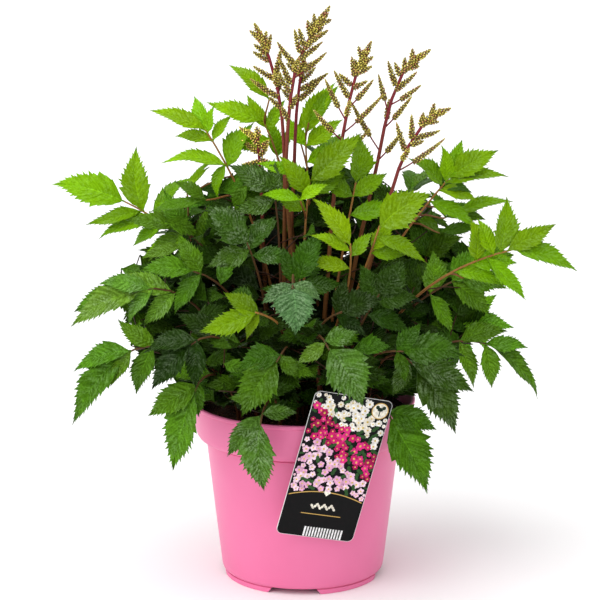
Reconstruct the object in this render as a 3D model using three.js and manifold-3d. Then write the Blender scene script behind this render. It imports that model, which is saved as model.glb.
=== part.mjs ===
// A garden astilbe in its nursery pot: divided, toothed leaves on arching leaf stalks, feathery
// flower spikes still in bud, potting soil, a flared plastic pot and a card plant label.
// Millimetres, +Z up. The origin is on the ground under the middle of the pot, and the front of
// the pot, where the label hangs, faces -Y.
import * as THREE from "three";
import { mergeVertices } from "three/addons/utils/BufferGeometryUtils.js";
import Module from "manifold-3d";

const wasm = await Module();
wasm.setup();

// ---------------------------------------------------------------- driving dimensions
const ROUND_SIDES = 30; // sides of the pot and of the soil in it
const GAP = 0.45; // clearance between neighbouring pieces

const POT = {
  rim: 95, // outer radius at the top edge
  height: 154, // top edge above the ground
  wall: 2,
  bandTop: 150,
  bandBottom: 121, // height of the step under the rim band
  stepRadius: 82.4, // outer radius of the wall just under the band
  baseRadius: 69.2, // outer radius of the wall just above the feet
  footHeight: 5,
  footRing: [62.8, 67.2], // inner and outer radius of the foot ring
  footGap: 47, // width of the four openings between the feet
  footTurn: -6.4, // degrees that the openings are turned about the upright axis
  floor: 2.5,
};
const DRAIN = { count: 6, radius: 5, at: 46 };
const SOIL = { top: 142, bump: 1.4, hole: 13 };

const LABEL = {
  width: 68,
  height: 128,
  thick: 0.8,
  corner: 5,
  centre: [25.5, -87.3, 117.5],
  yaw: 16, // degrees that the card is turned to the right to lie against the round rim
  lean: 9, // degrees that its top comes forward, over the rim
  tilt: 13, // degrees that it hangs crooked, clockwise as seen from the front
};
const TONGUE = { width: 10, depth: 17, inside: 12, offset: 6 }; // the strap that holds the card

const LEAF = {
  thick: 1.3, // at the midrib; the blade thins towards its toothed edge
  fold: 0.24, // how far the two halves of the blade rise from the midrib
  bow: 0.075, // arch of the midrib over the blade's length
  tooth: 1.07, // a tooth reaches past the smooth outline by this factor
  notch: 0.8,
  width: 0.46, // width of a usual leaflet over its length
};
// Where the rings of a blade lie along its length: the leaflet's stalk, then tooth after tooth.
// A longer blade has more teeth.
const BLADE_ROWS = [
  { from: 57, rows: [0.06, 0.19, 0.33, 0.47, 0.61, 0.74, 0.87] },
  { from: 46, rows: [0.07, 0.25, 0.44, 0.63, 0.82] },
  { from: 0, rows: [0.09, 0.31, 0.55, 0.79] },
];
const ROOT = 2.2; // how far back along its stalk a leaflet is rooted

const STALK = { foot: 2.1, tip: 1.3, sides: 3, rows: 5, leastRise: 62 };
const STEM = { foot: 2.6, tip: 1.0, sides: 4, rows: 7 };
const BUDS = { radius: 2.4, waist: 0.6, pitch: 6.5, sides: 3, rise: 0.16 };
const CROWN_SWELL = 1.5; // the bud-covered tip of a spike is this much thicker than its branches

// A leaflet that would touch a neighbour is bent to the first of these positions that is clear:
// a turn across the leaf and a lean to the front or back, in degrees, and its length.
const BENDS = [];
for (const shrink of [1, 0.88, 0.76, 0.62]) {
  for (const lean of [0, -9, 9, -18, 18, -28, 28]) {
    for (const turn of [0, 8, -8, 17, -17]) {
      BENDS.push({ turn, lean, shrink });
    }
  }
}

// Leaves. Each has a foot in the soil (compass angle and radius), an apex where its last leaflets
// spread, the way its stalk heads there, and leaflets given by their distance back from the
// apex, their angle in the upright plane that faces the front (0 is right, 90 is up), length,
// lean (negative is towards the front) and, where unusual, width over length.
const LEAVES = {
  far_left: { foot: [158, 44], apex: [-156, 64, 312], heading: [155, 0], tone: "fresh",
    leaflets: [[0, 165, 63, 0, 0.5], [19, 97, 56, 5, 0.46], [17, -168, 49, -10, 0.3], [28, 46, 50, 12, 0.34],
      [33, -166, 52, -10, 0.38], [40, -147, 34, 10], [62, -161, 37, -5]] },
  upper_left: { foot: [150, 17], apex: [-83, 20, 382], heading: [122, 0], tone: "fresh",
    leaflets: [[0, 159, 48, 0, 0.36], [4, 112, 34, 20], [4, 78, 24, -10], [12, 172, 32, 10],
      [12, 55, 27, 10], [36, 174, 54, -5, 0.34], [37, 61, 43, 0, 0.62], [34, -105, 30, -10]] },
  stem_left: { foot: [115, 13], apex: [-34, 25, 388.5], heading: [115, 0], tone: "fresh",
    leaflets: [[0, 161, 50, 0, 0.34], [8, 121, 34, 10, 0.36], [17, -166, 35, 0], [8, 60, 29, 0, 0.4]] },
  stem_right: { foot: [50, 26], apex: [2, 26, 377], heading: [92, 0], tone: "fresh",
    leaflets: [[0, 61, 50, 0, 0.38], [10, 36, 38, 10], [10, 125, 30, 5], [24, 20, 34, 0]] },
  arch: { foot: [-75, 14], apex: [6, -25, 345], heading: [82, 0], tone: "fresh",
    leaflets: [[0, 44, 58, 0, 0.5], [10, 30, 36, 5], [10, 125, 40, -10], [24, 148, 34, -10]] },
  upright: { foot: [-30, 22], apex: [44, -20, 343.5], heading: [80, 0], tone: "fresh",
    leaflets: [[0, 88, 40, 0, 0.6], [12, 35, 34, 5], [12, 148, 34, -5], [28, 10, 40, 0]] },
  mid_left: { foot: [-150, 24], apex: [-24, -34, 340], heading: [98, 0], tone: "deep",
    leaflets: [[0, 150, 42, -5, 0.5], [9, 92, 34, 5], [9, -165, 36, -10], [26, -140, 38, -10]] },
  right_upper: { foot: [16, 34], apex: [123.5, 0, 344], heading: [50, 0], tone: "fresh",
    leaflets: [[0, 30, 46, 0], [3, 69, 36, 10], [5, 96, 31, -5], [9, 139, 36, 0, 0.56],
      [6, 8, 52, -5, 0.3], [14, -14, 34, 5, 0.5], [26, -26, 43, -10]] },
  right_far: { foot: [-22, 47], apex: [173, -62, 294], heading: [14, -5], tone: "fresh",
    leaflets: [[0, -18, 54, 0, 0.36], [6, 28, 46, 5, 0.36], [11, 84, 45, 0, 0.56], [17, 113, 32, 10],
      [23, -46, 47, -5, 0.34], [32, 97, 35, -5, 0.62], [39, 0, 41, 8, 0.4], [53, -14, 42, -10, 0.36]] },
  left_mid: { foot: [-166, 52], apex: [-134, -40, 254.5], heading: [-165, 0], tone: "deep",
    leaflets: [[0, -154, 66, 0, 0.42], [7, 175, 44, 5, 0.36], [9, -128, 36, -10], [28, -135, 38, -5],
      [26, 163, 48, 10, 0.36]] },
  left_low: { foot: [-152, 55], apex: [-148.5, -60, 204], heading: [-145, 0], tone: "deep",
    leaflets: [[0, -127, 73, 0, 0.34], [7, -160, 51, 5, 0.42], [7, -122, 34, -10, 0.36], [28, 146, 38, 5, 0.44],
      [26, -112, 42, -10, 0.5]] },
  left_low_front: { foot: [-130, 56], apex: [-91, -100, 222], heading: [-140, -10], tone: "deep",
    leaflets: [[0, -132, 48, -5, 0.5], [6, -168, 44, 5], [6, -92, 38, -10], [28, 150, 40, 0]] },
  left_rim: { foot: [-142, 66], apex: [-88, -95, 182], heading: [-110, -10], tone: "mature",
    leaflets: [[0, -106, 69, 0, 0.45], [6, -147, 49, 0], [8, -92, 28, -5, 0.54], [26, 180, 40, 0]] },
  rim_left: { foot: [-106, 64], apex: [-34, -112, 159.5], heading: [-95, -20], tone: "mature",
    leaflets: [[0, -88, 57, 0, 0.52], [7, -129, 45, 0, 0.42], [8, 2, 28, 0], [24, 175, 32, 0]] },
  rim_right: { foot: [-37, 68], apex: [72, -74, 154.5], heading: [-60, -15], tone: "mature",
    leaflets: [[0, -62, 70, -6, 0.52], [5, -21, 44, 0, 0.48]] },
  front_left: { foot: [-116, 42], apex: [-21, -132, 216.5], heading: [-125, -35], tone: "mature",
    leaflets: [[0, -123, 52, -8, 0.58], [6, -163, 36, -5, 0.62], [6, -52, 22, -5, 0.6]] },
  trio: { foot: [-128, 30], apex: [-37, -148, 260.5], heading: [150, -50], tone: "lime",
    leaflets: [[0, -162, 47, -5, 0.4], [4, 148, 32, 0, 0.5], [4, -118, 22, -10, 0.5]] },
  centre: { foot: [-98, 32], apex: [-8, -150, 279], heading: [-90, -60], tone: "mature",
    leaflets: [[0, -86, 38, -32, 0.95], [5, -150, 28, -10, 0.6], [5, -28, 25, -10, 0.6]] },
  front: { foot: [-74, 52], apex: [21, -140, 228], heading: [-60, -35], tone: "mature",
    leaflets: [[0, -58, 51, -10, 0.84], [6, -145, 27, -5, 0.5], [8, 19, 27, -5, 0.55]] },
  upper_front_left: { foot: [-140, 36], apex: [-45, -80, 303], heading: [110, -25], tone: "deep",
    leaflets: [[0, 136, 46, -5, 0.56], [6, 53, 34, 0], [6, -150, 28, -5, 0.5], [12, -166, 38, 0],
      [12, -9, 34, 0]] },
  inner_up: { foot: [-88, 22], apex: [-2, -80, 273], heading: [75, -20], tone: "deep",
    leaflets: [[0, 66, 44, 5, 0.5], [5, 3, 36, 0], [5, 112, 34, 5], [20, 160, 30, 0]] },
  young_left: { foot: [-48, 18], apex: [38, -80, 302], heading: [95, -15], tone: "lime",
    leaflets: [[0, 128, 49, 0, 0.36], [6, 155, 36, -5, 0.3], [10, 48, 26, 5], [22, 170, 38, -5, 0.34]] },
  young_right: { foot: [-42, 32], apex: [61.5, -80, 316.5], heading: [75, -15], tone: "lime",
    leaflets: [[0, 35, 50, -5, 0.6], [8, -27, 45, 0, 0.34], [22, 55, 30, 5], [24, 0, 32, 0]] },
  inner_right: { foot: [-62, 36], apex: [31, -125, 256], heading: [30, -40], tone: "deep",
    leaflets: [[0, 20, 34, -5, 0.7], [6, 75, 31, 0], [6, -35, 29, -5]] },
  dark_right: { foot: [-46, 46], apex: [62, -85, 262], heading: [60, -20], tone: "deep",
    leaflets: [[0, 58, 36, -5, 0.7], [6, 5, 34, -5, 0.6], [6, 112, 32, 0, 0.6], [22, -20, 38, -5]] },
  right_front: { foot: [-46, 60], apex: [80, -118, 222], heading: [5, -35], tone: "deep",
    leaflets: [[0, -2, 49, -5, 0.56], [5, 50, 30, 0, 0.5], [5, -75, 26, -10]] },
  right_low: { foot: [-30, 60], apex: [92, -98, 203.5], heading: [-45, -15], tone: "mature",
    leaflets: [[0, -58, 64, -3, 0.52], [7, -25, 58, 0, 0.46], [8, -112, 32, -5]] },
  right_mid: { foot: [-12, 62], apex: [159.5, -30, 204.5], heading: [-25, 0], tone: "deep",
    leaflets: [[0, -47, 59, 0, 0.34], [6, -5, 36, 5], [6, -80, 38, -5], [28, 10, 42, 10],
      [28, -70, 40, -10]] },
  right_back: { foot: [14, 58], apex: [142.5, 14, 218.5], heading: [10, 5], tone: "deep",
    leaflets: [[0, -10, 40, 0, 0.4], [6, 35, 38, 8], [6, -50, 36, -8], [28, 60, 38, 5], [28, -35, 42, -5]] },
  right_inner: { foot: [-6, 44], apex: [132, -22, 262], heading: [25, -5], tone: "deep",
    leaflets: [[0, -4, 44, 0, 0.5], [7, 48, 38, 5, 0.6], [7, -40, 42, -5, 0.5], [28, 85, 36, 5, 0.7],
      [28, -60, 38, -5]] },
  left_upper_mid: { foot: [174, 30], apex: [-104, 12, 300], heading: [140, 0], tone: "deep",
    leaflets: [[0, 172, 46, 0, 0.44], [7, 120, 40, 5], [7, -145, 42, -5, 0.4], [27, 85, 38, 5],
      [27, -120, 40, -10]] },
  left_inner: { foot: [-158, 42], apex: [-92, -42, 272], heading: [165, -5], tone: "deep",
    leaflets: [[0, 178, 44, -5, 0.46], [7, 120, 38, 0], [7, -125, 40, -5, 0.5], [26, 70, 36, 0]] },
};

// Leaves behind the middle, on the side away from the label: compass angle and radius of the
// foot, reach and height of the apex, slope of the stalk there, and the number of leaflet pairs.
const BACK_LEAVES = [
  { foot: [24, 66], angle: 26, reach: 160, height: 262, slope: 5, pairs: 2 },
  { foot: [40, 46], angle: 44, reach: 138, height: 318, slope: 25, pairs: 2 },
  { foot: [56, 66], angle: 60, reach: 138, height: 228, slope: -20, pairs: 2 },
  { foot: [72, 46], angle: 76, reach: 118, height: 292, slope: 15, pairs: 2 },
  { foot: [90, 66], angle: 94, reach: 125, height: 236, slope: -15, pairs: 1 },
  { foot: [106, 44], angle: 108, reach: 119, height: 306, slope: 20, pairs: 2 },
  { foot: [122, 66], angle: 124, reach: 138, height: 228, slope: -20, pairs: 2 },
  { foot: [138, 52], angle: 138, reach: 138, height: 276, slope: 10, pairs: 2 },
  { foot: [176, 62], angle: 168, reach: 158, height: 238, slope: -15, pairs: 2 },
  { foot: [80, 30], angle: 72, reach: 66, height: 338, slope: 45, pairs: 2 },
];
const BACK_LEAFLET = { last: 50, taper: 0.9, first: 7, spacing: 24, spread: 52 };

// Flower spikes: the line of each stem from the soil to its tip, the length of the bud-covered
// tip, and the side branches by their distance back from the tip, angle, length and lean.
const SPIKES = {
  tall_left: { crown: 27, line: [[-14, 4], [-16, 2, 250], [-15, -3, 340], [-18, -1, 400],
    [-26, 0, 437], [-39.5, 0, 470]],
    branches: [[12, 150, 9, 10], [16, 75, 8, -20], [22, 71, 10, 15], [25, 150, 11, -10],
      [31, 160, 13, 10], [45, 76, 20, 0], [47, 154, 19, -20], [52, 100, 16, -55], [56, 80, 16, 55],
      [62, 155, 24, 5], [71, 140, 10, -10]] },
  tall_right: { crown: 31, line: [[-3, -9], [-7, -6, 250], [-14, -6, 345], [-11, -6, 400],
    [-5, -6, 438], [22, 0, 484]],
    branches: [[14, 10, 8, -10], [20, 95, 9, 10], [27, 102, 10, -10],
      [32, 22, 16, 0], [43, 107, 16, -10], [48, 29, 20, 0], [54, 133, 20, 0], [58, 70, 16, -55],
      [65, 31, 30, 5], [70, 119, 20, 10], [77, 124, 16, -10], [90, 60, 10, 0], [99, 120, 9, -5]] },
  middle: { crown: 20, line: [[-10, 16], [-12, 14, 250], [-8, 10, 330], [-5, 9, 400], [1, 12, 444]],
    branches: [[10, 20, 10, 10], [15, 150, 12, 10], [22, 35, 16, 30], [28, 22, 24, 5], [37, 35, 21, 5],
      [40, 145, 16, 30]] },
  right_inner: { crown: 31, line: [[12, -4], [20, -8, 250], [28, -10, 350], [36, -10, 395],
    [42, -10, 425], [56, -8, 456]],
    branches: [[14, 110, 8, -10], [18, 22, 9, 10], [26, 18, 11, -10],
      [30, 100, 13, 0], [37, 145, 11, 10], [39, 17, 11, 5], [48, 123, 21, 0], [56, 43, 26, 0],
      [62, 80, 18, -55], [66, 121, 31, 5], [77, 38, 39, 0], [83, 138, 29, -5], [98, 36, 30, 5]] },
  right_outer: { crown: 30, line: [[24, 8], [44, 2, 270], [61, -2, 350], [70, 0, 395],
    [83, 4, 430], [105, 5, 448]],
    branches: [[16, 88, 8, 10], [22, 0, 8, -10], [31, 115, 9, 0],
      [40, 110, 17, 0], [44, 34, 20, 0], [56, 25, 26, 5], [62, 107, 26, -5], [68, 75, 18, 55],
      [76, 44, 29, 0], [95, 125, 40, 5], [103, 46, 27, -15]] },
  right_low: { crown: 29, line: [[26, -5], [48, -12, 240], [71, -16, 325], [85, -15, 367],
    [103, -15, 393], [121, -15, 402]],
    branches: [[15, 75, 8, 10], [20, -12, 8, 0], [27, 80, 9, -10],
      [38, 8, 20, 0], [40, 91, 16, 0], [44, 9, 10, -20], [51, 110, 20, 5], [58, 60, 16, -55],
      [68, 28, 41, 0]] },
  young: { crown: 12, line: [[-24, 18], [-32, 26, 240], [-35, 30, 330], [-36, 30, 386]],
    branches: [[8, 155, 18, 0], [12, 40, 12, 20], [20, 150, 15, 20], [24, 50, 12, -20]] },
};

const COLOURS = {
  pot: 0xea7ba7,
  soil: 0x2a1c14,
  label: 0x20241f,
  lime: 0x8fc02a,
  fresh: 0x5f9a2c,
  deep: 0x3c6a2b,
  mature: 0x55803c,
  spike: 0x8c7a4a,
};

// ---------------------------------------------------------------- small tools
const UP = new THREE.Vector3(0, 0, 1);
const FRONT = new THREE.Vector3(0, -1, 0);
const radians = THREE.MathUtils.degToRad;

// A repeatable draw between -1 and 1.
function draw(seed) {
  const wave = Math.sin(seed * 12.9898) * 43758.5453;
  return 2 * (wave - Math.floor(wave)) - 1;
}

function polar(angle, radius, height) {
  const turn = radians(angle);
  return new THREE.Vector3(radius * Math.cos(turn), radius * Math.sin(turn), height);
}

// A direction from its angle in the upright plane facing the front and its lean to the back.
function facing(angle, lean) {
  const turn = radians(angle);
  const tip = radians(lean);
  return new THREE.Vector3(
    Math.cos(turn) * Math.cos(tip),
    Math.sin(tip),
    Math.sin(turn) * Math.cos(tip),
  );
}

function solidOf(geometry) {
  const bare = geometry.clone();
  bare.deleteAttribute("normal");
  bare.deleteAttribute("uv");
  const merged = mergeVertices(bare, 1e-4);
  return new wasm.Manifold(
    new wasm.Mesh({
      numProp: 3,
      vertProperties: merged.attributes.position.array,
      triVerts: new Uint32Array(merged.index.array),
    }),
  );
}

function fuse(pieces) {
  return pieces.reduce((whole, piece) => whole.add(piece));
}

function cutOut(whole, cutters) {
  return cutters.reduce((rest, cutter) => rest.subtract(cutter), whole);
}

function meshOf(name, solid, colour, roughness) {
  const made = solid.getMesh();
  const geometry = new THREE.BufferGeometry();
  const points = new THREE.BufferAttribute(made.vertProperties, 3);
  geometry.setAttribute("position", points);
  geometry.setIndex(new THREE.BufferAttribute(made.triVerts, 1));
  const material = new THREE.MeshStandardMaterial({ color: colour, roughness, metalness: 0 });
  const mesh = new THREE.Mesh(geometry, material);
  mesh.name = name;
  return mesh;
}

// Moves every vertex of a geometry to where place(vertex, index) puts it.
function reshape(geometry, place) {
  const points = geometry.attributes.position;
  const vertex = new THREE.Vector3();
  for (let i = 0; i < points.count; i++) {
    vertex.fromBufferAttribute(points, i);
    const moved = place(vertex, i);
    points.setXYZ(i, moved.x, moved.y, moved.z);
  }
  return geometry;
}

// A tapering rod along a curve. swell widens it and sink lowers its foot, for the hole it needs.
function rod(curve, size, swell = 0, sink = 0) {
  const frames = curve.computeFrenetFrames(size.rows);
  const straight = new THREE.CylinderGeometry(1, 1, size.rows, size.sides, size.rows);
  return reshape(straight, (vertex) => {
    const row = Math.round(vertex.y + size.rows / 2);
    const along = row / size.rows;
    const radius = size.foot + (size.tip - size.foot) * along + swell;
    const place = curve.getPoint(along);
    place.addScaledVector(frames.normals[row], vertex.z * radius);
    place.addScaledVector(frames.binormals[row], vertex.x * radius);
    if (row === 0) place.z -= sink;
    return place;
  });
}

// ---------------------------------------------------------------- pot, soil and label
function turned(profile) {
  const points = profile.map(([radius, height]) => new THREE.Vector2(radius, height));
  return new THREE.LatheGeometry(points, ROUND_SIDES).rotateX(Math.PI / 2);
}

// Inner radius of the pot's wall and band, which the soil follows.
const INSIDE = {
  floor: [POT.baseRadius - POT.wall, POT.footHeight + POT.floor],
  step: [POT.stepRadius - POT.wall, POT.bandBottom + POT.wall],
  band: [POT.stepRadius + 6.8, POT.bandBottom + 8],
  top: [POT.rim - POT.wall - 0.5, POT.height - 0.6],
};

function potSolid() {
  const [footInner, footOuter] = POT.footRing;
  const shell = turned([
    [0, POT.footHeight],
    [footInner, POT.footHeight],
    [footInner, 0],
    [footOuter, 0],
    [footOuter, POT.footHeight],
    [POT.baseRadius, POT.footHeight + 2],
    [POT.stepRadius, POT.bandBottom],
    [POT.stepRadius + 6, POT.bandBottom + 1.6],
    [POT.stepRadius + 8.8, POT.bandBottom + 6.5],
    [POT.rim - 0.9, POT.bandTop],
    [POT.rim, POT.bandTop + 1.5],
    [POT.rim - 0.6, POT.height],
    INSIDE.top,
    INSIDE.band,
    INSIDE.step,
    INSIDE.floor,
    [0, POT.footHeight + POT.floor],
  ]);
  return cutOut(solidOf(shell), [...footOpenings(), ...drainHoles()]);
}

// Two bars crossing under the pot cut the foot ring into four feet with sloping ends.
function footOpenings() {
  const half = POT.footGap / 2;
  const top = POT.footHeight - 0.01;
  const section = new THREE.Shape();
  section.moveTo(-half, -1);
  section.lineTo(half, -1);
  section.lineTo(half - 4, top);
  section.lineTo(4 - half, top);
  const length = 2 * POT.rim;
  const bar = new THREE.ExtrudeGeometry(section, { depth: length, bevelEnabled: false });
  bar.translate(0, 0, -POT.rim).rotateX(Math.PI / 2);
  bar.rotateZ(THREE.MathUtils.degToRad(POT.footTurn));
  return [solidOf(bar), solidOf(bar.clone().rotateZ(Math.PI / 2))];
}

function drainHoles() {
  const tall = 3 * POT.floor;
  return Array.from({ length: DRAIN.count }, (_, i) => {
    const hole = new THREE.CylinderGeometry(DRAIN.radius, DRAIN.radius, tall, 7);
    const at = polar((360 / DRAIN.count) * i, DRAIN.at, POT.footHeight + POT.floor / 2);
    return solidOf(hole.rotateX(Math.PI / 2).translate(at.x, at.y, at.z));
  });
}

function soilSolid(holes) {
  const inset = ([radius, height]) => [radius - GAP, height + GAP];
  const [shelfRadius, shelfHeight] = INSIDE.band;
  const slope = (INSIDE.top[0] - shelfRadius) / (INSIDE.top[1] - shelfHeight);
  const edge = shelfRadius - GAP + slope * (SOIL.top - shelfHeight);
  const filling = turned([
    [0, INSIDE.floor[1] + GAP],
    inset(INSIDE.floor),
    inset(INSIDE.step),
    inset(INSIDE.band),
    [edge, SOIL.top - 1],
    [edge * 0.6, SOIL.top + 0.5],
    [0, SOIL.top + 1],
  ]);
  reshape(filling, (vertex) => {
    const inner = Math.hypot(vertex.x, vertex.y) < edge - 5;
    if (inner && vertex.z > SOIL.top - 0.5) {
      vertex.z += SOIL.bump * Math.sin(vertex.x * 0.21 + 1) * Math.cos(vertex.y * 0.17);
    }
    return vertex;
  });
  return cutOut(solidOf(filling), holes);
}

function roundedCard() {
  const x = LABEL.width / 2;
  const y = LABEL.height / 2;
  const r = LABEL.corner;
  const outline = new THREE.Shape();
  outline.absarc(x - r, y - r, r, 0, Math.PI / 2);
  outline.absarc(r - x, y - r, r, Math.PI / 2, Math.PI);
  outline.absarc(r - x, r - y, r, Math.PI, 1.5 * Math.PI);
  outline.absarc(x - r, r - y, r, 1.5 * Math.PI, 2 * Math.PI);
  const options = { depth: LABEL.thick, bevelEnabled: false, curveSegments: 3 };
  return new THREE.ExtrudeGeometry(outline, options);
}

// The label's own directions: the rim's right, outwards from the rim, and up.
function labelFrame() {
  const yaw = radians(LABEL.yaw);
  const right = new THREE.Vector3(Math.cos(yaw), Math.sin(yaw), 0);
  const out = new THREE.Vector3(Math.sin(yaw), -Math.cos(yaw), 0);
  return new THREE.Matrix4().makeBasis(right, UP.clone(), out).setPosition(...LABEL.centre);
}

// The card lies against the rim. A strap bridges the rim to a tongue that stands in the soil.
function labelSolid() {
  const card = roundedCard().rotateZ(-radians(LABEL.tilt)).rotateX(radians(LABEL.lean));
  return fuse([solidOf(card), ...tonguePieces(0)].map((piece) => piece.transform(labelFrame().elements)));
}

// The strap and tongue in the label's frame. swell widens them, for the slot in the soil.
function tonguePieces(swell) {
  const { thick } = LABEL;
  const strapUp = POT.height + 2 - LABEL.centre[2];
  const cardOut = strapUp * Math.tan(radians(LABEL.lean)) + thick / 2;
  const reach = cardOut + TONGUE.inside;
  const strap = new THREE.BoxGeometry(TONGUE.width, thick, reach);
  strap.translate(TONGUE.offset, strapUp, cardOut - reach / 2);
  const height = TONGUE.depth + POT.height - SOIL.top + 2;
  const tongue = new THREE.BoxGeometry(TONGUE.width + 2 * swell, height + swell, thick + 2 * swell);
  tongue.translate(TONGUE.offset, strapUp + (thick - height - swell) / 2, thick / 2 - TONGUE.inside);
  return [solidOf(strap), solidOf(tongue)];
}

function tongueSlot() {
  return tonguePieces(GAP)[1].transform(labelFrame().elements);
}

// ---------------------------------------------------------------- leaves
// Half width of a blade at a share of its length, as a share of the greatest half width.
function bladeOutline(along) {
  return 3.008 * along ** 0.62 * (1 - along) ** 1.05;
}

// One toothed leaflet: a thin lens whose left and right edges step in and out in turn, folded
// along the midrib and arched over its length. Its root lies inside the leaf stalk.
function leafletSolid({ base, direction, normal, length, width }) {
  const { rows } = BLADE_ROWS.find(({ from }) => length >= from);
  const side = new THREE.Vector3().crossVectors(normal, direction);
  const blade = new THREE.SphereGeometry(1, 4, rows.length + 1);
  const pointsInRow = 5;
  reshape(blade, (vertex, index) => {
    const row = Math.floor(index / pointsInRow);
    const along = [0, ...rows, 1][row];
    const edge = Math.round(vertex.x * 10) === 0 ? 0 : Math.sign(vertex.x);
    const face = edge === 0 ? Math.sign(Math.round(vertex.z * 10)) : 0;
    const inStalk = row === 1;
    const toothed = (row + (edge > 0 ? 1 : 0)) % 2 === 0 ? LEAF.tooth : LEAF.notch;
    const half = inStalk ? 1.3 : 0.5 * width * length * bladeOutline(along) * toothed;
    const atPole = row === 0 || row === rows.length + 1;
    const thick = inStalk ? 1.7 : LEAF.thick * (1 - 0.45 * along);
    const lift = atPole ? 0 : (face * thick) / 2 + Math.abs(edge) * half * LEAF.fold;
    const arch = LEAF.bow * length * 4 * along * (1 - along);
    return base
      .clone()
      .addScaledVector(direction, along * length)
      .addScaledVector(side, atPole ? 0 : edge * half)
      .addScaledVector(normal, lift + arch);
  });
  return solidOf(blade);
}

// The way a blade faces: up, towards the light on the leaf's own side of the plant.
function bladeNormal(direction, outward, roll) {
  const light = new THREE.Vector3().addScaledVector(UP, 0.55).addScaledVector(outward, 0.35);
  if (outward.y < 0.6) light.addScaledVector(FRONT, 0.6);
  light.addScaledVector(direction, -light.dot(direction)).normalize();
  return light.applyAxisAngle(direction, radians(roll));
}

function leafStalk(foot, apex, heading) {
  const root = polar(foot[0], foot[1], SOIL.top - SOIL.hole);
  const span = root.distanceTo(apex);
  const rise = root.clone().addScaledVector(UP, Math.max(0.45 * span, STALK.leastRise));
  rise.addScaledVector(new THREE.Vector3(apex.x - root.x, apex.y - root.y, 0), 0.06);
  const arrive = apex.clone().addScaledVector(heading, -0.33 * span);
  return new THREE.CubicBezierCurve3(root, rise, arrive, apex);
}

// The point a distance back from the end of a rod, along the straight stretches between its rings.
function backAlong(curve, rows, distance) {
  const rings = curve.getPoints(rows).reverse();
  let left = distance;
  let ring = 1;
  while (left > rings[ring].distanceTo(rings[ring - 1])) {
    left -= rings[ring].distanceTo(rings[ring - 1]);
    ring += 1;
  }
  const stretch = rings[ring].distanceTo(rings[ring - 1]);
  return rings[ring - 1].clone().lerp(rings[ring], left / stretch);
}

// Leaflets of a leaf that is drawn by hand in the upright plane facing the front.
function drawnLeaflets(plan, curve) {
  return plan.leaflets.map(([back, angle, length, lean, width = LEAF.width]) => ({
    base: backAlong(curve, STALK.rows, back + ROOT),
    aim: (bend) => facing(angle + bend.turn, lean + bend.lean),
    length,
    width,
  }));
}

// Leaflets of a leaf by rule: a last leaflet and pairs that open to both sides of the stalk.
function pairedLeaflets(plan, curve, heading, outward) {
  const across = new THREE.Vector3().crossVectors(UP, outward);
  const leaflets = [];
  for (let pair = 0; pair <= plan.pairs; pair++) {
    for (const side of pair === 0 ? [0] : [-1, 1]) {
      const back = pair === 0 ? 0 : BACK_LEAFLET.first + (pair - 1) * BACK_LEAFLET.spacing;
      const spread = side * (BACK_LEAFLET.spread + 7 * draw(pair * 3.1 + side + plan.angle));
      leaflets.push({
        base: backAlong(curve, STALK.rows, back + ROOT),
        aim: (bend) => {
          const level = heading.clone().applyAxisAngle(UP, radians(spread + bend.turn));
          return level.applyAxisAngle(across, radians(bend.lean + 8)).normalize();
        },
        length: BACK_LEAFLET.last * BACK_LEAFLET.taper ** pair,
        width: LEAF.width,
      });
    }
  }
  return leaflets;
}

// Every leaf's plan in one form: its name, stalk curve, leaflets, outward side and tone.
function leafPlans() {
  const drawn = Object.entries(LEAVES).map(([name, plan]) => {
    const apex = new THREE.Vector3(...plan.apex);
    const curve = leafStalk(plan.foot, apex, facing(...plan.heading));
    const outward = new THREE.Vector3(apex.x, apex.y, 0).normalize();
    return { name, curve, outward, tone: plan.tone, leaflets: drawnLeaflets(plan, curve) };
  });
  const back = BACK_LEAVES.map((plan, i) => {
    const apex = polar(plan.angle, plan.reach, plan.height);
    const outward = polar(plan.angle, 1, 0);
    const slope = radians(plan.slope);
    const heading = outward.clone().multiplyScalar(Math.cos(slope)).addScaledVector(UP, Math.sin(slope));
    const curve = leafStalk(plan.foot, apex, heading);
    const leaflets = pairedLeaflets(plan, curve, heading, outward);
    return { name: `back_${i + 1}`, curve, outward, tone: "deep", leaflets };
  });
  return [...drawn, ...back];
}

// ---------------------------------------------------------------- flower spikes
// A branch of a flower spike: a rod whose rings swell and narrow in turn like rows of buds.
function budBranch(base, direction, length, swell = 1) {
  const rows = Math.max(2, Math.round(length / BUDS.pitch));
  const branch = new THREE.SphereGeometry(1, BUDS.sides, rows + 1);
  const across = new THREE.Vector3(0, 1, 0.2).cross(direction).normalize();
  const over = new THREE.Vector3().crossVectors(direction, across);
  reshape(branch, (vertex, index) => {
    const row = Math.floor(index / (BUDS.sides + 1));
    const along = row / (rows + 1);
    const atPole = row === 0 || row === rows + 1;
    const spin = Math.atan2(vertex.z, vertex.x) + (row * Math.PI) / BUDS.sides;
    const bulge = row % 2 === 0 ? BUDS.waist : 1;
    const radius = atPole ? 0 : BUDS.radius * swell * bulge * (1.15 - 0.55 * along);
    return base
      .clone()
      .addScaledVector(direction, along * length)
      .addScaledVector(UP, BUDS.rise * length * along * along)
      .addScaledVector(across, Math.cos(spin) * radius)
      .addScaledVector(over, Math.sin(spin) * radius);
  });
  return solidOf(branch);
}

function stemCurve(line) {
  const points = line.map(([x, y, z = SOIL.top - SOIL.hole]) => new THREE.Vector3(x, y, z));
  return new THREE.CatmullRomCurve3(points, false, "centripetal");
}

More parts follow.
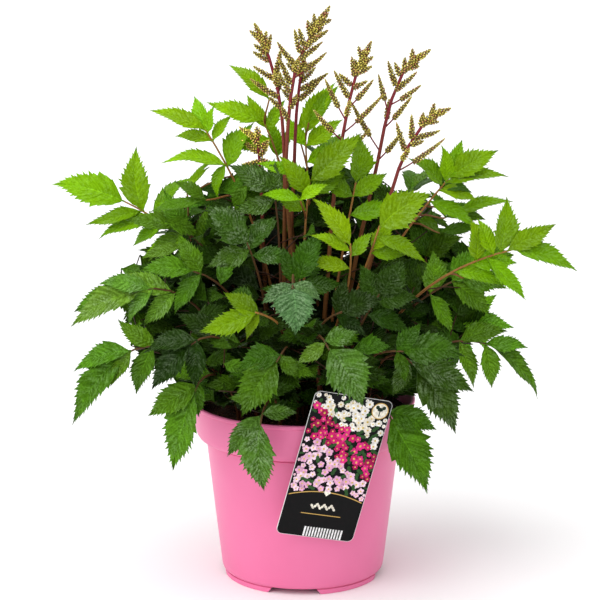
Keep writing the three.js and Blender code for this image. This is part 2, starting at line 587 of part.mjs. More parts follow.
function spikeSolid(plan, curve) {
  const crownBase = backAlong(curve, STEM.rows, plan.crown);
  const crown = curve.getPoint(1).sub(crownBase);
  const length = crown.length();
  const top = budBranch(crownBase, crown.clone().normalize(), length, CROWN_SWELL);
  const branches = plan.branches.map(([back, angle, reach, lean]) =>
    budBranch(backAlong(curve, STEM.rows, back + ROOT), facing(angle, lean), reach),
  );
  return fuse([solidOf(rod(curve, STEM)), top, ...branches]);
}

// ---------------------------------------------------------------- assembly
// True if a solid keeps its distance from every solid already placed.
function isClear(solid, placed) {
  const { min, max } = solid.boundingBox();
  return placed.every(({ solid: other, box }) => {
    const apart = [0, 1, 2].some((k) => min[k] - GAP > box.max[k] || max[k] + GAP < box.min[k]);
    return apart || solid.minGap(other, GAP) >= GAP;
  });
}

function place(placed, owner, solid) {
  placed.push({ owner, solid, box: solid.boundingBox() });
  return solid;
}

// The leaflet in the first of its positions that touches nothing but its own leaf.
function settle(leaflet, plan, seed, placed) {
  const others = placed.filter(({ owner }) => owner !== plan.name);
  for (const bend of BENDS) {
    const direction = leaflet.aim(bend);
    const normal = bladeNormal(direction, plan.outward, 14 * draw(seed));
    const length = leaflet.length * bend.shrink;
    const solid = leafletSolid({ ...leaflet, direction, normal, length });
    if (isClear(solid, others)) return solid;
  }
  return null;
}

const placed = [];
const leaves = leafPlans();
const stems = Object.entries(SPIKES).map(([name, plan]) => ({ name, plan, curve: stemCurve(plan.line) }));

const holes = [
  ...leaves.map(({ curve }) => solidOf(rod(curve, STALK, GAP, GAP))),
  ...stems.map(({ curve }) => solidOf(rod(curve, STEM, GAP, GAP))),
  tongueSlot(),
];
const pot = place(placed, "pot", potSolid());
const label = place(placed, "label", labelSolid());
const soil = place(placed, "soil", soilSolid(holes));
const spikes = stems.map(({ name, plan, curve }) => place(placed, name, spikeSolid(plan, curve)));
const stalks = leaves.map(({ name, curve }) => place(placed, name, solidOf(rod(curve, STALK))));

const plant = new THREE.Group();
plant.add(meshOf("pot", pot, COLOURS.pot, 0.45));
plant.add(meshOf("soil", soil, COLOURS.soil, 0.95));
plant.add(meshOf("label", label, COLOURS.label, 0.4));
stems.forEach(({ name }, i) => plant.add(meshOf(`spike_${name}`, spikes[i], COLOURS.spike, 0.7)));
leaves.forEach((plan, i) => {
  const pieces = [stalks[i]];
  plan.leaflets.forEach((leaflet, k) => {
    const solid = settle(leaflet, plan, i * 11 + k, placed);
    if (solid) pieces.push(place(placed, plan.name, solid));
  });
  plant.add(meshOf(`leaf_${plan.name}`, fuse(pieces), COLOURS[plan.tone], 0.55));
});

export default plant;
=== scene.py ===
# %% [markdown]
# # A garden astilbe in its nursery pot
# This lesson dresses a packed plant model: divided, toothed leaves, flower spikes in bud,
# potting mix, a satin plastic pot and a card plant label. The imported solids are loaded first
# and never moved. Each of them is then replaced by a finer piece that grows in the same place.

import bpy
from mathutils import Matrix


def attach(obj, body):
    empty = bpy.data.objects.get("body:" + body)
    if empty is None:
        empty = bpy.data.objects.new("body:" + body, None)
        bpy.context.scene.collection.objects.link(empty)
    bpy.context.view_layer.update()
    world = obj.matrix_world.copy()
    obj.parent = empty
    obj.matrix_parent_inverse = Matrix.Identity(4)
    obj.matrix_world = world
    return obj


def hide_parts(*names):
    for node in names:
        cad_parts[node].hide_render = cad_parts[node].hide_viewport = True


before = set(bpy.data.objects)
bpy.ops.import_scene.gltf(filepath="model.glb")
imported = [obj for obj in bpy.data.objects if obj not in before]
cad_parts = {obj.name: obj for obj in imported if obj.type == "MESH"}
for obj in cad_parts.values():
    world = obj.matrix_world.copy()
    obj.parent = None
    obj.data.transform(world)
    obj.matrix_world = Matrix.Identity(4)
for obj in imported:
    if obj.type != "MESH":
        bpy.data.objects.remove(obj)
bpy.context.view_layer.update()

import math

import bmesh
import bpy
import numpy as np
from mathutils import Matrix, Vector, noise

MM = 0.001  # the tables below are in millimetres, and Blender works in metres


def show(thing):
    bpy.context.scene.collection.objects.link(thing)


def mesh_of(bm, name):
    """Turns a bmesh into a mesh and gives the bmesh's memory back."""
    mesh = bpy.data.meshes.new(name)
    bm.to_mesh(mesh)
    bm.free()
    return mesh


# %% [markdown]
# ## Camera
# A plant is best seen from a little above its leaves and from some distance, which keeps the
# pot's sides nearly upright. A long lens from 1.8 m gives that calm, flat look.

# %% Camera
EYE_DISTANCE = 1800  # from the eye to the plant's upright axis
EYE = Vector((0.0, -EYE_DISTANCE * MM, 0.631))
EYE_PITCH = 0.215  # radians that the camera looks down

camera_data = bpy.data.cameras.new("camera")
camera_data.sensor_width = 36
camera_data.lens = 131.2
camera_data.shift_x = -0.0047
camera_data.dof.use_dof = False
camera = bpy.data.objects.new("camera", camera_data)
camera.location = EYE
camera.rotation_euler = (math.pi / 2 - EYE_PITCH, 0, 0)
show(camera)
bpy.context.scene.camera = camera
print("camera at", tuple(EYE))

# %% [markdown]
# ## Light and floor
# A white studio is one large pale floor under a bright dome. The dome fills every side, and
# two big lamps give the leaves a lit side and leave the inside of the bush dark.

# %% World, lamps and floor
bpy.context.scene.view_settings.view_transform = "Standard"
bpy.context.scene.view_settings.look = "None"

world = bpy.data.worlds.new("studio")
bpy.context.scene.world = world
world.use_nodes = True
dome = world.node_tree.nodes["Background"].inputs
dome["Color"].default_value = (1, 1, 1, 1)
dome["Strength"].default_value = 0.7


def soft_sun(name, place, spread, strength):
    """An even light from far away: the wider its spread in degrees, the softer its shadows."""
    data = bpy.data.lights.new(name, "SUN")
    data.angle = math.radians(spread)
    data.energy = strength
    light = bpy.data.objects.new(name, data)
    light.location = place
    light.rotation_euler = (-Vector(place)).to_track_quat("-Z", "Y").to_euler()
    show(light)


soft_sun("key", (-1.3, -1.1, 1.9), 70, 1.9)
soft_sun("top", (0.3, 0.1, 2.0), 70, 0.6)

floor_bm = bmesh.new()
bmesh.ops.create_grid(floor_bm, x_segments=1, y_segments=1, size=30)
floor = bpy.data.objects.new("floor", mesh_of(floor_bm, "floor"))
floor_finish = bpy.data.materials.new("studio floor")
floor_finish.use_nodes = True
floor_inputs = floor_finish.node_tree.nodes["Principled BSDF"].inputs
floor_inputs["Base Color"].default_value = (0.97, 0.97, 0.97, 1)
floor_inputs["Roughness"].default_value = 1.0
floor_inputs["Specular IOR Level"].default_value = 0.0
floor.data.materials.append(floor_finish)
show(floor)
print("studio is lit")

# %% [markdown]
# ## Helpers for finishes
# A finish is a Principled shader with a few nodes in front of it. These helpers keep each
# finish below short. Patterns read object coordinates, so they are in real metres.


# %% Helpers for finishes
def linear(red, green, blue):
    """A colour picked on a screen, 0 to 255, as the linear values a shader wants."""
    picked = [channel / 255 for channel in (red, green, blue)]
    return tuple(c / 12.92 if c <= 0.04045 else ((c + 0.055) / 1.055) ** 2.4 for c in picked)


def new_finish(name, roughness, specular=0.5):
    """A material with its node tree, its shader and its object coordinates."""
    material = bpy.data.materials.new(name)
    material.use_nodes = True
    nodes = material.node_tree.nodes
    shader = nodes["Principled BSDF"]
    shader.inputs["Roughness"].default_value = roughness
    shader.inputs["Specular IOR Level"].default_value = specular
    place = nodes.new("ShaderNodeTexCoord").outputs["Object"]
    return material, shader, place


def node(material, kind, inputs=(), **settings):
    """A new node with its inputs linked or set."""
    made = material.node_tree.nodes.new("ShaderNode" + kind)
    for key, value in settings.items():
        setattr(made, key, value)
    for key, value in dict(inputs).items():
        if isinstance(value, bpy.types.NodeSocket):
            material.node_tree.links.new(value, made.inputs[key])
        else:
            made.inputs[key].default_value = value
    return made


def speckle(material, place, scale, detail=4.0):
    """A cloudy grey value between 0 and 1 with spots of about 1 / scale metres."""
    return node(material, "TexNoise", {"Vector": place, "Scale": scale, "Detail": detail}).outputs["Fac"]


def ramp(material, value, *stops):
    """Colours by value: each stop is a position and a colour."""
    made = node(material, "ValToRGB", {"Fac": value})
    elements = made.color_ramp.elements
    while len(elements) < len(stops):
        elements.new(0.5)
    for element, (position, colour) in zip(elements, stops):
        element.position = position
        element.color = (*colour, 1)
    return made.outputs["Color"]


def blend_colours(material, factor, first, second, mode="MIX"):
    made = node(material, "Mix", data_type="RGBA", blend_type=mode)
    for socket, value in zip((made.inputs[0], made.inputs[6], made.inputs[7]), (factor, first, second)):
        if isinstance(value, bpy.types.NodeSocket):
            material.node_tree.links.new(value, socket)
        else:
            socket.default_value = value
    return made.outputs[2]


def rough_skin(material, shader, height, distance):
    """Gives the shader small bumps from a height value."""
    bump = node(material, "Bump", {"Height": height, "Distance": distance, "Strength": 1.0})
    material.node_tree.links.new(bump.outputs["Normal"], shader.inputs["Normal"])


def colour_from(material, shader, socket):
    material.node_tree.links.new(socket, shader.inputs["Base Color"])


def tint_of(material):
    """The colour that each point of a piece carries."""
    return node(material, "Attribute", attribute_name="tint").outputs["Color"]


def tinted_finish(name, roughness, specular, scale, dark, pale):
    """A finish that takes its piece's tint, in fine spots between a darker and a paler shade."""
    material, shader, place = new_finish(name, roughness, specular)
    tint = tint_of(material)
    spots = ramp(material, speckle(material, place, scale), dark, pale)
    colour_from(material, shader, blend_colours(material, 1.0, tint, spots, "MULTIPLY"))
    return material


# %% [markdown]
# ## Helpers for pieces
# Everything that repeats on the plant is one small mesh, called a form here, that is bent into
# its place again and again. numpy moves all the points of a form at once, and the bmesh of a
# leaf or a spike collects the results.


# %% Helpers for pieces
def draw(seed):
    """A repeatable draw between -1 and 1."""
    wave = math.sin(seed * 12.9898) * 43758.5453
    return 2 * (wave - math.floor(wave)) - 1


def unit(vector):
    return vector / np.linalg.norm(vector)


def polar(angle, radius, height):
    turn = math.radians(angle)
    return np.array([radius * math.cos(turn), radius * math.sin(turn), height])


def facing(angle, lean):
    """A direction from its angle in the upright plane that faces the front, and its lean back."""
    turn, tip = math.radians(angle), math.radians(lean)
    return np.array([math.cos(turn) * math.cos(tip), math.sin(tip), math.sin(turn) * math.cos(tip)])


def turned(vector, axis, degrees):
    return np.array(Matrix.Rotation(math.radians(degrees), 3, Vector(axis)) @ Vector(vector))


def grow(bm, form, points, tint, finish=0):
    """Adds a copy of a form to bm, with its points in millimetres and a colour for each."""
    mesh = form["mesh"]
    mesh.vertices.foreach_set("co", (points * MM).astype(np.float32).ravel())
    colour = np.ones((len(points), 4), np.float32)
    colour[:, :3] = tint
    mesh.attributes["tint"].data.foreach_set("color", colour.ravel())
    mesh.polygons.foreach_set("material_index", np.full(len(mesh.polygons), finish, np.int32))
    bm.from_mesh(mesh)


def new_form(bm):
    """Keeps a bmesh as a form: its mesh and its points as they were made."""
    mesh = mesh_of(bm, "form")
    mesh.attributes.new("tint", "FLOAT_COLOR", "POINT")
    mesh.polygons.foreach_set("use_smooth", np.ones(len(mesh.polygons), bool))
    rest = np.empty(len(mesh.vertices) * 3)
    mesh.vertices.foreach_get("co", rest)
    return {"mesh": mesh, "rest": rest.reshape(-1, 3)}


def finish_piece(name, bm, finishes, slot, *nodes, sharp=60):
    """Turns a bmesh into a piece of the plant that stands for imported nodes."""
    mesh = mesh_of(bm, name)
    for finish in finishes:
        mesh.materials.append(finish)
    mesh.polygons.foreach_set("use_smooth", np.ones(len(mesh.polygons), bool))
    mesh.set_sharp_from_angle(angle=math.radians(sharp))
    piece = bpy.data.objects.new(name, mesh)
    show(piece)
    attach(piece, "root")
    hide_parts(*nodes)
    return piece


# %% [markdown]
# ## Pot
# The pot is injection moulded: a thin wall that flares upwards, a step under a wide band, a
# rounded lip and a foot ring cut into four feet. A profile spun round the upright axis gives
# all of that at once, and cutters then open the foot ring and the drain holes.

# %% Pot finish
pot_finish, shader, place = new_finish("satin pink plastic", 0.38, 0.4)
pinks = ramp(pot_finish, speckle(pot_finish, place, 14),
             (0.3, linear(228, 112, 158)), (0.7, linear(233, 119, 165)))
colour_from(pot_finish, shader, pinks)
rough_skin(pot_finish, shader, speckle(pot_finish, place, 1400, 2.0), 0.00006)
print("pot finish ready")

# %% Pot: the wall as a spun profile
POT_PROFILE = [  # radius and height, from the underside's middle round the lip to the floor
    (0, 5), (60.8, 5), (62.8, 4.6), (63.0, 0.6), (63.5, 0), (66.6, 0), (67.2, 0.6), (67.5, 3.8),
    (67.3, 4.2), (66.3, 4.4), (66.3, 5.3), (67.9, 5.6), (68.5, 6.1), (69.1, 7.6), (69.5, 9.6),
    (69.8, 12), (73.7, 45), (78.2, 84), (82.2, 118.6), (82.2, 119.2), (81.4, 119.6), (81.4, 120.7),
    (83.2, 121.1), (85.0, 121.4), (87.4, 121.8), (89.0, 122.9), (90.2, 124.8), (91.0, 127.5),
    (92.4, 138), (93.8, 149.4), (93.7, 150.1), (94.6, 150.7), (95.4, 151.6), (95.5, 152.6),
    (95.1, 153.5), (94.3, 154), (93.2, 154), (92.6, 153.6), (92.4, 153), (89.2, 129), (87.5, 126),
    (83.5, 124), (80.4, 121.5), (75.5, 80), (67.4, 8.4), (66.4, 7.5), (0, 7.5),
]
POT_SIDES = 144
# Two bars cut the four openings of the foot ring. Above a height they are narrowed to a share.
FOOT_GAP = {"width": 47, "height": 5.9, "middle": 1.95, "narrowed_from": 3, "narrowed_to": 0.8}
FOOT_TURN = math.radians(-6.4)
DRAIN_HOLE = {"from_middle": 46, "height": 6.2, "radius": 5, "depth": 12}
DRAIN_HOLES = 6


def spun(profile, sides):
    """A closed bmesh, turned from a profile of radius and height in millimetres."""
    bm = bmesh.new()
    points = [bm.verts.new((radius * MM, 0, height * MM)) for radius, height in profile]
    edges = [bm.edges.new(pair) for pair in zip(points, points[1:])]
    bmesh.ops.spin(bm, geom=points + edges, axis=(0, 0, 1), cent=(0, 0, 0),
                   angle=2 * math.pi, steps=sides, use_merge=True)
    bmesh.ops.remove_doubles(bm, verts=bm.verts, dist=1e-6)
    bmesh.ops.recalc_face_normals(bm, faces=bm.faces)
    return bm


def cutter(bm, name):
    return bpy.data.objects.new(name, mesh_of(bm, name))


def cut(bm, cutters):
    """The bmesh with the cutters taken away."""
    blank = cutter(bm, "blank")
    show(blank)
    for tool in cutters:
        show(tool)
        step = blank.modifiers.new(tool.name, "BOOLEAN")
        step.object, step.solver = tool, "EXACT"
    solid = blank.evaluated_get(bpy.context.evaluated_depsgraph_get())
    result = bmesh.new()
    result.from_mesh(solid.to_mesh())
    for spare in (blank, *cutters):
        bpy.data.objects.remove(spare)
    return result


def foot_bar(turn):
    """A bar across the pot's underside, narrower at its top, that opens the foot ring twice."""
    bm = bmesh.new()
    size = (200 * MM, FOOT_GAP["width"] * MM, FOOT_GAP["height"] * MM, 1)
    bmesh.ops.create_cube(bm, size=1, matrix=Matrix.Diagonal(size))
    for corner in bm.verts:
        corner.co.z += FOOT_GAP["middle"] * MM
        if corner.co.z > FOOT_GAP["narrowed_from"] * MM:
            corner.co.y *= FOOT_GAP["narrowed_to"]
    bmesh.ops.rotate(bm, verts=bm.verts, matrix=Matrix.Rotation(turn, 3, "Z"))
    return cutter(bm, "foot_bar")


def drain_hole(number):
    bm = bmesh.new()
    radius = DRAIN_HOLE["radius"] * MM
    spot = polar(360 / DRAIN_HOLES * number, DRAIN_HOLE["from_middle"], DRAIN_HOLE["height"])
    bmesh.ops.create_cone(bm, cap_ends=True, segments=24, radius1=radius, radius2=radius,
                          depth=DRAIN_HOLE["depth"] * MM, matrix=Matrix.Translation(spot * MM))
    return cutter(bm, "drain_hole")


pot_bm = cut(spun(POT_PROFILE, POT_SIDES),
             [foot_bar(FOOT_TURN), foot_bar(FOOT_TURN + math.pi / 2),
              *(drain_hole(i) for i in range(DRAIN_HOLES))])
pot = finish_piece("flower_pot", pot_bm, [pot_finish], "pot", "pot", sharp=34)
print("pot has", len(pot.data.polygons), "faces")

# %% [markdown]
# ## Potting mix
# Peat and bark fibre, nearly black when moist. A spun disc with a bumpy top gives the surface,
# and some hundreds of small crumbs lie half sunk in it.

# %% Potting mix finish
soil_finish, shader, place = new_finish("moist potting mix", 0.9, 0.2)
grit = speckle(soil_finish, place, 900, 6.0)
browns = ramp(soil_finish, grit, (0.35, linear(30, 18, 13)), (0.55, linear(72, 46, 34)),
              (0.7, linear(158, 116, 90)))
colour_from(soil_finish, shader, browns)
rough_skin(soil_finish, shader, grit, 0.0012)

# %% Potting mix: bumpy top and crumbs
SOIL_TOP, SOIL_EDGE = 142, 90.2
SOIL_RINGS, SOIL_SIDES = 34, 110
SOIL_SWELLS = ((2.4, 0.07), (1.5, 0.25))  # the height of each, and how many there are to a millimetre
CRUMBS = 620
soil_profile = [(0, 8.2), (66.6, 8.2), (79.8, 123.4), (88.6, 129.6), (SOIL_EDGE, SOIL_TOP - 1)]
soil_profile += [(SOIL_EDGE * (1 - ring / SOIL_RINGS), SOIL_TOP) for ring in range(1, SOIL_RINGS + 1)]
soil_bm = spun(soil_profile, SOIL_SIDES)
for vertex in soil_bm.verts:
    if vertex.co.z > (SOIL_TOP - 0.5) * MM:
        spot = vertex.co * 1000  # in millimetres
        vertex.co.z += MM * sum(height * noise.noise(spot * rate) for height, rate in SOIL_SWELLS)

crumb_bm = bmesh.new()
bmesh.ops.create_icosphere(crumb_bm, subdivisions=1, radius=1)
crumb = new_form(crumb_bm)
for i in range(CRUMBS):
    radius = SOIL_EDGE * 0.98 * math.sqrt(0.5 + 0.5 * draw(i + 0.3))
    middle = polar(180 * draw(i + 0.7), radius, SOIL_TOP + 0.8)
    size = 1.3 + 0.9 * draw(i * 1.7)
    points = middle + crumb["rest"] * np.array([size, size * 0.8, size * 0.6])
    grow(soil_bm, crumb, points, (0.1, 0.07, 0.05))
soil = finish_piece("potting_mix", soil_bm, [soil_finish], "soil", "soil", sharp=50)
print("potting mix has", len(soil.data.polygons), "faces")

# %% [markdown]
# ## Blades
# An astilbe leaflet is a thin blade with a sunk midrib, side veins that run forward to the
# teeth, and a puffed skin between them. Its mesh follows the veins: each row of the grid runs
# from the midrib out along a vein, so a few rows give crisp teeth and crisp relief.

# %% Blade finishes
VEIN_SCALE = 16  # the UV map counts one side vein for each 1 / 16


def sums(material, operation, *values):
    return node(material, "Math", dict(enumerate(values)), operation=operation).outputs[0]


def fade(material, value, near, far, low, high):
    """high at near and closer, low at far and beyond."""
    made = node(material, "MapRange", {"Value": value, "From Min": near, "From Max": far,
                                       "To Min": high, "To Max": low})
    return made.outputs["Result"]


def new_blade_finish(name, specular, vein, vein_trough_shade, mottle_and_relief_light, painted_glint_amount, pleat):
    """A leaf skin: pale veins in troughs of painted shade, puckers painted lighter where they
    rise (partly painted light on the relief), and glints in patches: a painted highlight
    colour with a raised specular level.
    """
    finish, shader, place = new_finish(name, 0.4, specular)
    tint = tint_of(finish)
    flat = node(finish, "UVMap", uv_map="veins").outputs["UV"]
    spot = node(finish, "SeparateXYZ", {0: flat})
    wide_cloud = speckle(finish, place, 90, 3.0)
    crinkle = speckle(finish, place, 700, 5.0)
    along_veins = node(finish, "VectorMath", {0: flat, 1: (6.0, 2.6 * VEIN_SCALE, 0.0)}, operation="MULTIPLY")
    moved = node(finish, "VectorMath", {0: place, 1: (90.0, 90.0, 90.0), 2: along_veins.outputs[0]},
                 operation="MULTIPLY_ADD")
    pucker = speckle(finish, moved.outputs[0], 1.0, 3.0)
    from_midrib = sums(finish, "ABSOLUTE", sums(finish, "SUBTRACT", spot.outputs["X"], 0.5))
    vein_count = sums(finish, "SUBTRACT", sums(finish, "MULTIPLY", spot.outputs["Y"], VEIN_SCALE), 0.86)
    vein_count = sums(finish, "ADD", vein_count, sums(finish, "MULTIPLY", pucker, 0.4))
    from_vein = sums(finish, "PINGPONG", vein_count, 0.5)
    factors = [
        # The crinkle and pucker factors make the skin lighter where its bumps rise: partly random mottling,
        # partly painted light on the relief. The wide cloud is mottling only.
        fade(finish, crinkle, 0.38, 0.62, 1 + 0.8 * mottle_and_relief_light, 1 - 0.8 * mottle_and_relief_light),
        fade(finish, pucker, 0.34, 0.66, 1 + 1.3 * mottle_and_relief_light, 1 - 1.3 * mottle_and_relief_light),
        fade(finish, wide_cloud, 0.36, 0.64, 1 + 0.5 * mottle_and_relief_light, 1 - 0.5 * mottle_and_relief_light),
        # Darker next to each side vein: painted shade in the trough along the sunk vein.
        fade(finish, from_vein, 0.03, 0.2, 1.0, vein_trough_shade),
        fade(finish, from_vein, 0.02, 0.07, 1.0, vein),
        fade(finish, from_midrib, 0.008, 0.022, 1.0, 1 + 2.2 * (vein - 1)),
    ]
    brightness = factors[0]
    for factor in factors[1:]:
        brightness = sums(finish, "MULTIPLY", brightness, factor)
    skin = blend_colours(finish, 1.0, tint, brightness, "MULTIPLY")
    # Glints: in patches where the skin rises, the colour is mixed towards a pale green, a painted highlight,
    # and the specular level is raised there too.
    rises = sums(finish, "ADD", sums(finish, "MULTIPLY", crinkle, 0.5), sums(finish, "MULTIPLY", pucker, 0.5))
    glint = sums(finish, "MULTIPLY", fade(finish, rises, 0.45, 0.62, 1.0, 0.0),
                 fade(finish, wide_cloud, 0.4, 0.6, 0.3, 1.6))
    painted_glint = sums(finish, "MULTIPLY", glint, painted_glint_amount)
    colour_from(finish, shader, blend_colours(finish, painted_glint, skin, (*linear(166, 190, 146), 1)))
    gloss = sums(finish, "ADD", sums(finish, "MULTIPLY", glint, 1.6 * specular), 0.3 * specular)
    finish.node_tree.links.new(gloss, shader.inputs["Specular IOR Level"])
    puffed = sums(finish, "ADD", rises, fade(finish, from_vein, 0.0, 0.3, pleat, 0.0))
    rough_skin(finish, shader, puffed, 0.0008)
    return finish


# Each finish takes its specular level, the paleness of its veins, the painted shade in its vein troughs, its
# mottling with painted relief light, its amount of painted glint, and the height of its pleats.
young_finish = new_blade_finish("young leaf blade", 0.12, 1.16, 0.97, 0.12, 0.03, 0.2)
mature_finish = new_blade_finish("mature leaf blade", 0.1, 1.22, 0.92, 0.22, 0.04, 0.4)
glossy_painted_sheen_finish = new_blade_finish("glossy leaf blade with painted sheen", 0.2, 1.2, 0.9, 0.22, 0.15, 0.5)
pleated_painted_shade_finish = new_blade_finish("pleated leaf blade with painted shade", 0.3, 1.2, 0.82, 0.22, 0.16, 0.8)
inner_finish = new_blade_finish("shaded leaf blade", 0.05, 1.2, 0.9, 0.26, 0.02, 0.4)
print("five blade finishes ready")

# %% Stalk finish
stalk_finish = tinted_finish("leaf stalk", 0.5, 0.2, 500,
                             (0.3, (0.8, 0.8, 0.8)), (0.7, (1.15, 1.15, 1.15)))

# %% The form of a blade
# Steps of one tooth: notch, small tooth, small notch, and the side vein with its large tooth.
FINE_TOOTH = {"phase": (0.0, 0.28, 0.42, 0.66), "rim": (0.87, 0.99, 0.92, 1.12),
              "forward": (-0.1, 0.2, 0.0, 0.5), "crest": (0.2, 1.0, 0.8, -1.0)}
PLAIN_TOOTH = {"phase": (0.0, 0.66), "rim": (0.86, 1.12), "forward": (0.0, 0.6), "crest": (1.0, -1.0)}
FIRST_TOOTH, LAST_TOOTH = 0.045, 0.965


def blade_form(teeth, tooth, columns):
    """A closed thin blade: columns go across it, and rows follow the side veins."""
    spacing = (LAST_TOOTH - FIRST_TOOTH) / teeth
    rows = [(0.0, -0.3, 1.0, 0.0, 0.0), (0.03, -0.15, 1.0, 0.0, 0.0)]
    for count in range(teeth):
        for phase, rim, forward, crest in zip(*tooth.values()):
            vein = count + phase
            rows.append((FIRST_TOOTH + vein * spacing, vein, rim, forward * spacing, crest))
    rows.append((1.0, teeth + 0.3, 1.0, 0.0, 0.0))
    bm = bmesh.new()
    bmesh.ops.create_grid(bm, x_segments=len(columns) - 1, y_segments=len(rows) - 1, size=1)
    for vertex in bm.verts:
        column = round((vertex.co.x + 1) / 2 * (len(columns) - 1))
        row = round((vertex.co.y + 1) / 2 * (len(rows) - 1))
        vertex.co = (columns[column], row, 0)
    uv_layer = bm.loops.layers.uv.new("veins")
    for face in bm.faces:
        for loop in face.loops:
            corner = loop.vert.co
            loop[uv_layer].uv = (corner.x * 0.5 + 0.5, rows[round(corner.y)][1] / VEIN_SCALE)
    bmesh.ops.solidify(bm, geom=bm.faces[:], thickness=0.5)
    form = new_form(bm)
    rest = form["rest"]
    table = np.array(rows)[np.round(rest[:, 1]).astype(int)]
    form["across"] = rest[:, 0]
    form["along"], _, form["rim"], form["forward"], form["crest"] = table.T
    form["face"] = np.where(rest[:, 2] > rest[:, 2].mean(), 0.5, -0.5)
    form["tooth"] = np.floor(table[:, 1]) * 2.4 + 1.7 * np.sign(rest[:, 0])
    return form


def mirrored(half):
    return [-value for value in reversed(half)] + [0.0] + list(half)


fine_blade = blade_form(10, FINE_TOOTH, mirrored((0.08, 0.42, 0.76, 1.0)))
slim_blade = blade_form(8, FINE_TOOTH, mirrored((0.08, 0.6, 1.0)))
plain_blade = blade_form(7, PLAIN_TOOTH, mirrored((1.0,)))
for title, form in (("fine", fine_blade), ("slim", slim_blade), ("plain", plain_blade)):
    print(title, "blade has", len(form["mesh"].polygons), "faces, spans", np.ptp(form["rest"], axis=0))

# %% Bend a blade into its place
VEIN_SWEEP = 0.6  # how far a side vein runs forward, as a share of the blade's width
MOST_SWEEP = 0.3  # and at most this share of the blade's length
PETIOLULE = 0.65  # half width of the short stalk of a leaflet
SKIN = 0.5  # thickness of a blade at its base, which halves towards its tip
FOLD = 0.24  # how far the halves of a blade rise from its midrib, for each step outwards
ROLL = math.radians(16)  # the most that a blade twists along its length
# The rest are shares of a blade's length: its arch, the droop of its tip, the puffs between its
# veins, the groove over its midrib, the waves of its edges and its bend to one side.
ARCH, DROOP, PUFF, GROOVE, WAVE, SICKLE = 0.075, 0.04, 0.005, 0.007, 0.016, 0.05
# The tones shady, dim and inner are painted shade: darker copies of the green for leaves that stand in shade.
# The sheen tone is a paler grey green, a painted sheen. The others are the leaves' own greens.
TONES = {
    "lime": linear(134, 178, 4), "fresh": linear(122, 170, 4), "deep": linear(74, 114, 14),
    "dim": linear(58, 94, 10), "shady": linear(38, 66, 6), "mature": linear(80, 118, 26),
    "sheen": linear(78, 112, 58), "inner": linear(37, 62, 6),
}


def outline(share):
    """Half width at a share of the length, as a share of the greatest half width."""
    inside = np.clip(share, 0, 1)
    return 4.65 * inside ** 0.88 * (1 - inside) ** 1.42


def smooth(value):
    step = np.clip(value, 0, 1)
    return step * step * (3 - 2 * step)


def blade_points(form, leaflet):
    """The points of a form, bent into a leaflet: sunk veins, a fold, an arch and wavy edges."""
    base, direction, normal, length, width, seed = (
        leaflet[key] for key in ("base", "direction", "normal", "length", "width", "seed"))
    across, row, crest = form["across"], form["along"], form["crest"]
    reach = np.abs(across)
    sweep = min(VEIN_SWEEP * width, MOST_SWEEP) * smooth(row / 0.3) * (1 - row) ** 0.5
    sweep = np.minimum(sweep, 0.7 * (1 - row))
    rim = 1 + (form["rim"] - 1) * (1 + 0.4 * np.sin(5.1 * seed + form["tooth"])) * reach ** 6
    rim *= 1 + 0.07 * np.sin(7 * row + 9 * seed + 2 * np.sign(across))
    half = np.maximum(0.5 * width * length * outline((row + sweep - 0.04) / 0.96) * rim,
                      PETIOLULE * (1 - 0.8 * row))
    along = row + sweep * reach ** 1.2 + form["forward"] * reach ** 6
    sideways = across * half
    flesh = smooth(row / 0.1)
    lift = FOLD * np.abs(sideways) * flesh + ARCH * length * 4 * along * (1 - along)
    lift -= DROOP * length * np.clip(along - 0.5, 0, 1) ** 2 * 4
    lift += PUFF * length * crest * (1 - reach ** 3) * smooth(reach / 0.1)
    lift -= GROOVE * length * np.exp(-(reach / 0.06) ** 2) * (1 - row) * flesh
    lift += WAVE * length * np.sin(6.283 * (1.7 * along + draw(seed + 0.1))) * reach ** 2 * flesh
    lift += form["face"] * np.where(row < 0.04, 2 * PETIOLULE, SKIN * (1 - 0.5 * row))
    side = np.cross(direction, normal)
    roll = ROLL * draw(seed + 0.2) * (along - 0.3)
    sickle = SICKLE * length * draw(seed + 0.3) * along * (1 - along) * 4
    points = base + np.outer(along * length, direction) + np.outer(sickle, side)
    points += np.outer(sideways * np.cos(roll) - lift * np.sin(roll), side)
    return points + np.outer(sideways * np.sin(roll) + lift * np.cos(roll), normal)


def blade_tint(form, tone, seed):
    """A tone with its own small difference, paler below and towards the tip of a young blade."""
    value = 1 + 0.24 * draw(seed + 0.4)
    warm = 0.12 * draw(seed + 0.5)
    colour = np.array(tone) * value * np.array([1 + warm, 1, 1 - warm])
    # Slightly lighter on the puffs between the veins and darker in the sunk veins: painted shade of the
    # blade's relief.
    shade = 1 + 0.1 * form["crest"] * 0.5 + 0.16 * (form["along"] - 0.5)
    tint = np.outer(shade, colour)
    below = form["face"] < 0
    tint[below] = tint[below] * 0.8 + 0.035
    return tint


def grow_blade(bm, form, leaflet, tone, finish=0):
    grow(bm, form, blade_points(form, leaflet), blade_tint(form, tone, leaflet["seed"]), finish)


# %% [markdown]
# ## Stalks
# A stalk is a thin tapering tube along a curve. Its form is a sphere whose rings are spread
# along the curve, so both ends close by themselves.

# %% Stalk form and curves
def tube_form(rings, sides):
    bm = bmesh.new()
    bmesh.ops.create_uvsphere(bm, u_segments=sides, v_segments=rings, radius=1)
    bmesh.ops.rotate(bm, verts=bm.verts, matrix=Matrix.Rotation(0.1, 3, "Z"))
    bm.loops.layers.uv.new("veins")
    form = new_form(bm)
    rest = form["rest"]
    form["ring"] = np.round(np.arccos(np.clip(-rest[:, 2], -1, 1)) / math.pi * rings).astype(int)
    form["turn"] = np.arctan2(rest[:, 1], rest[:, 0])
    form["rings"] = rings
    return form


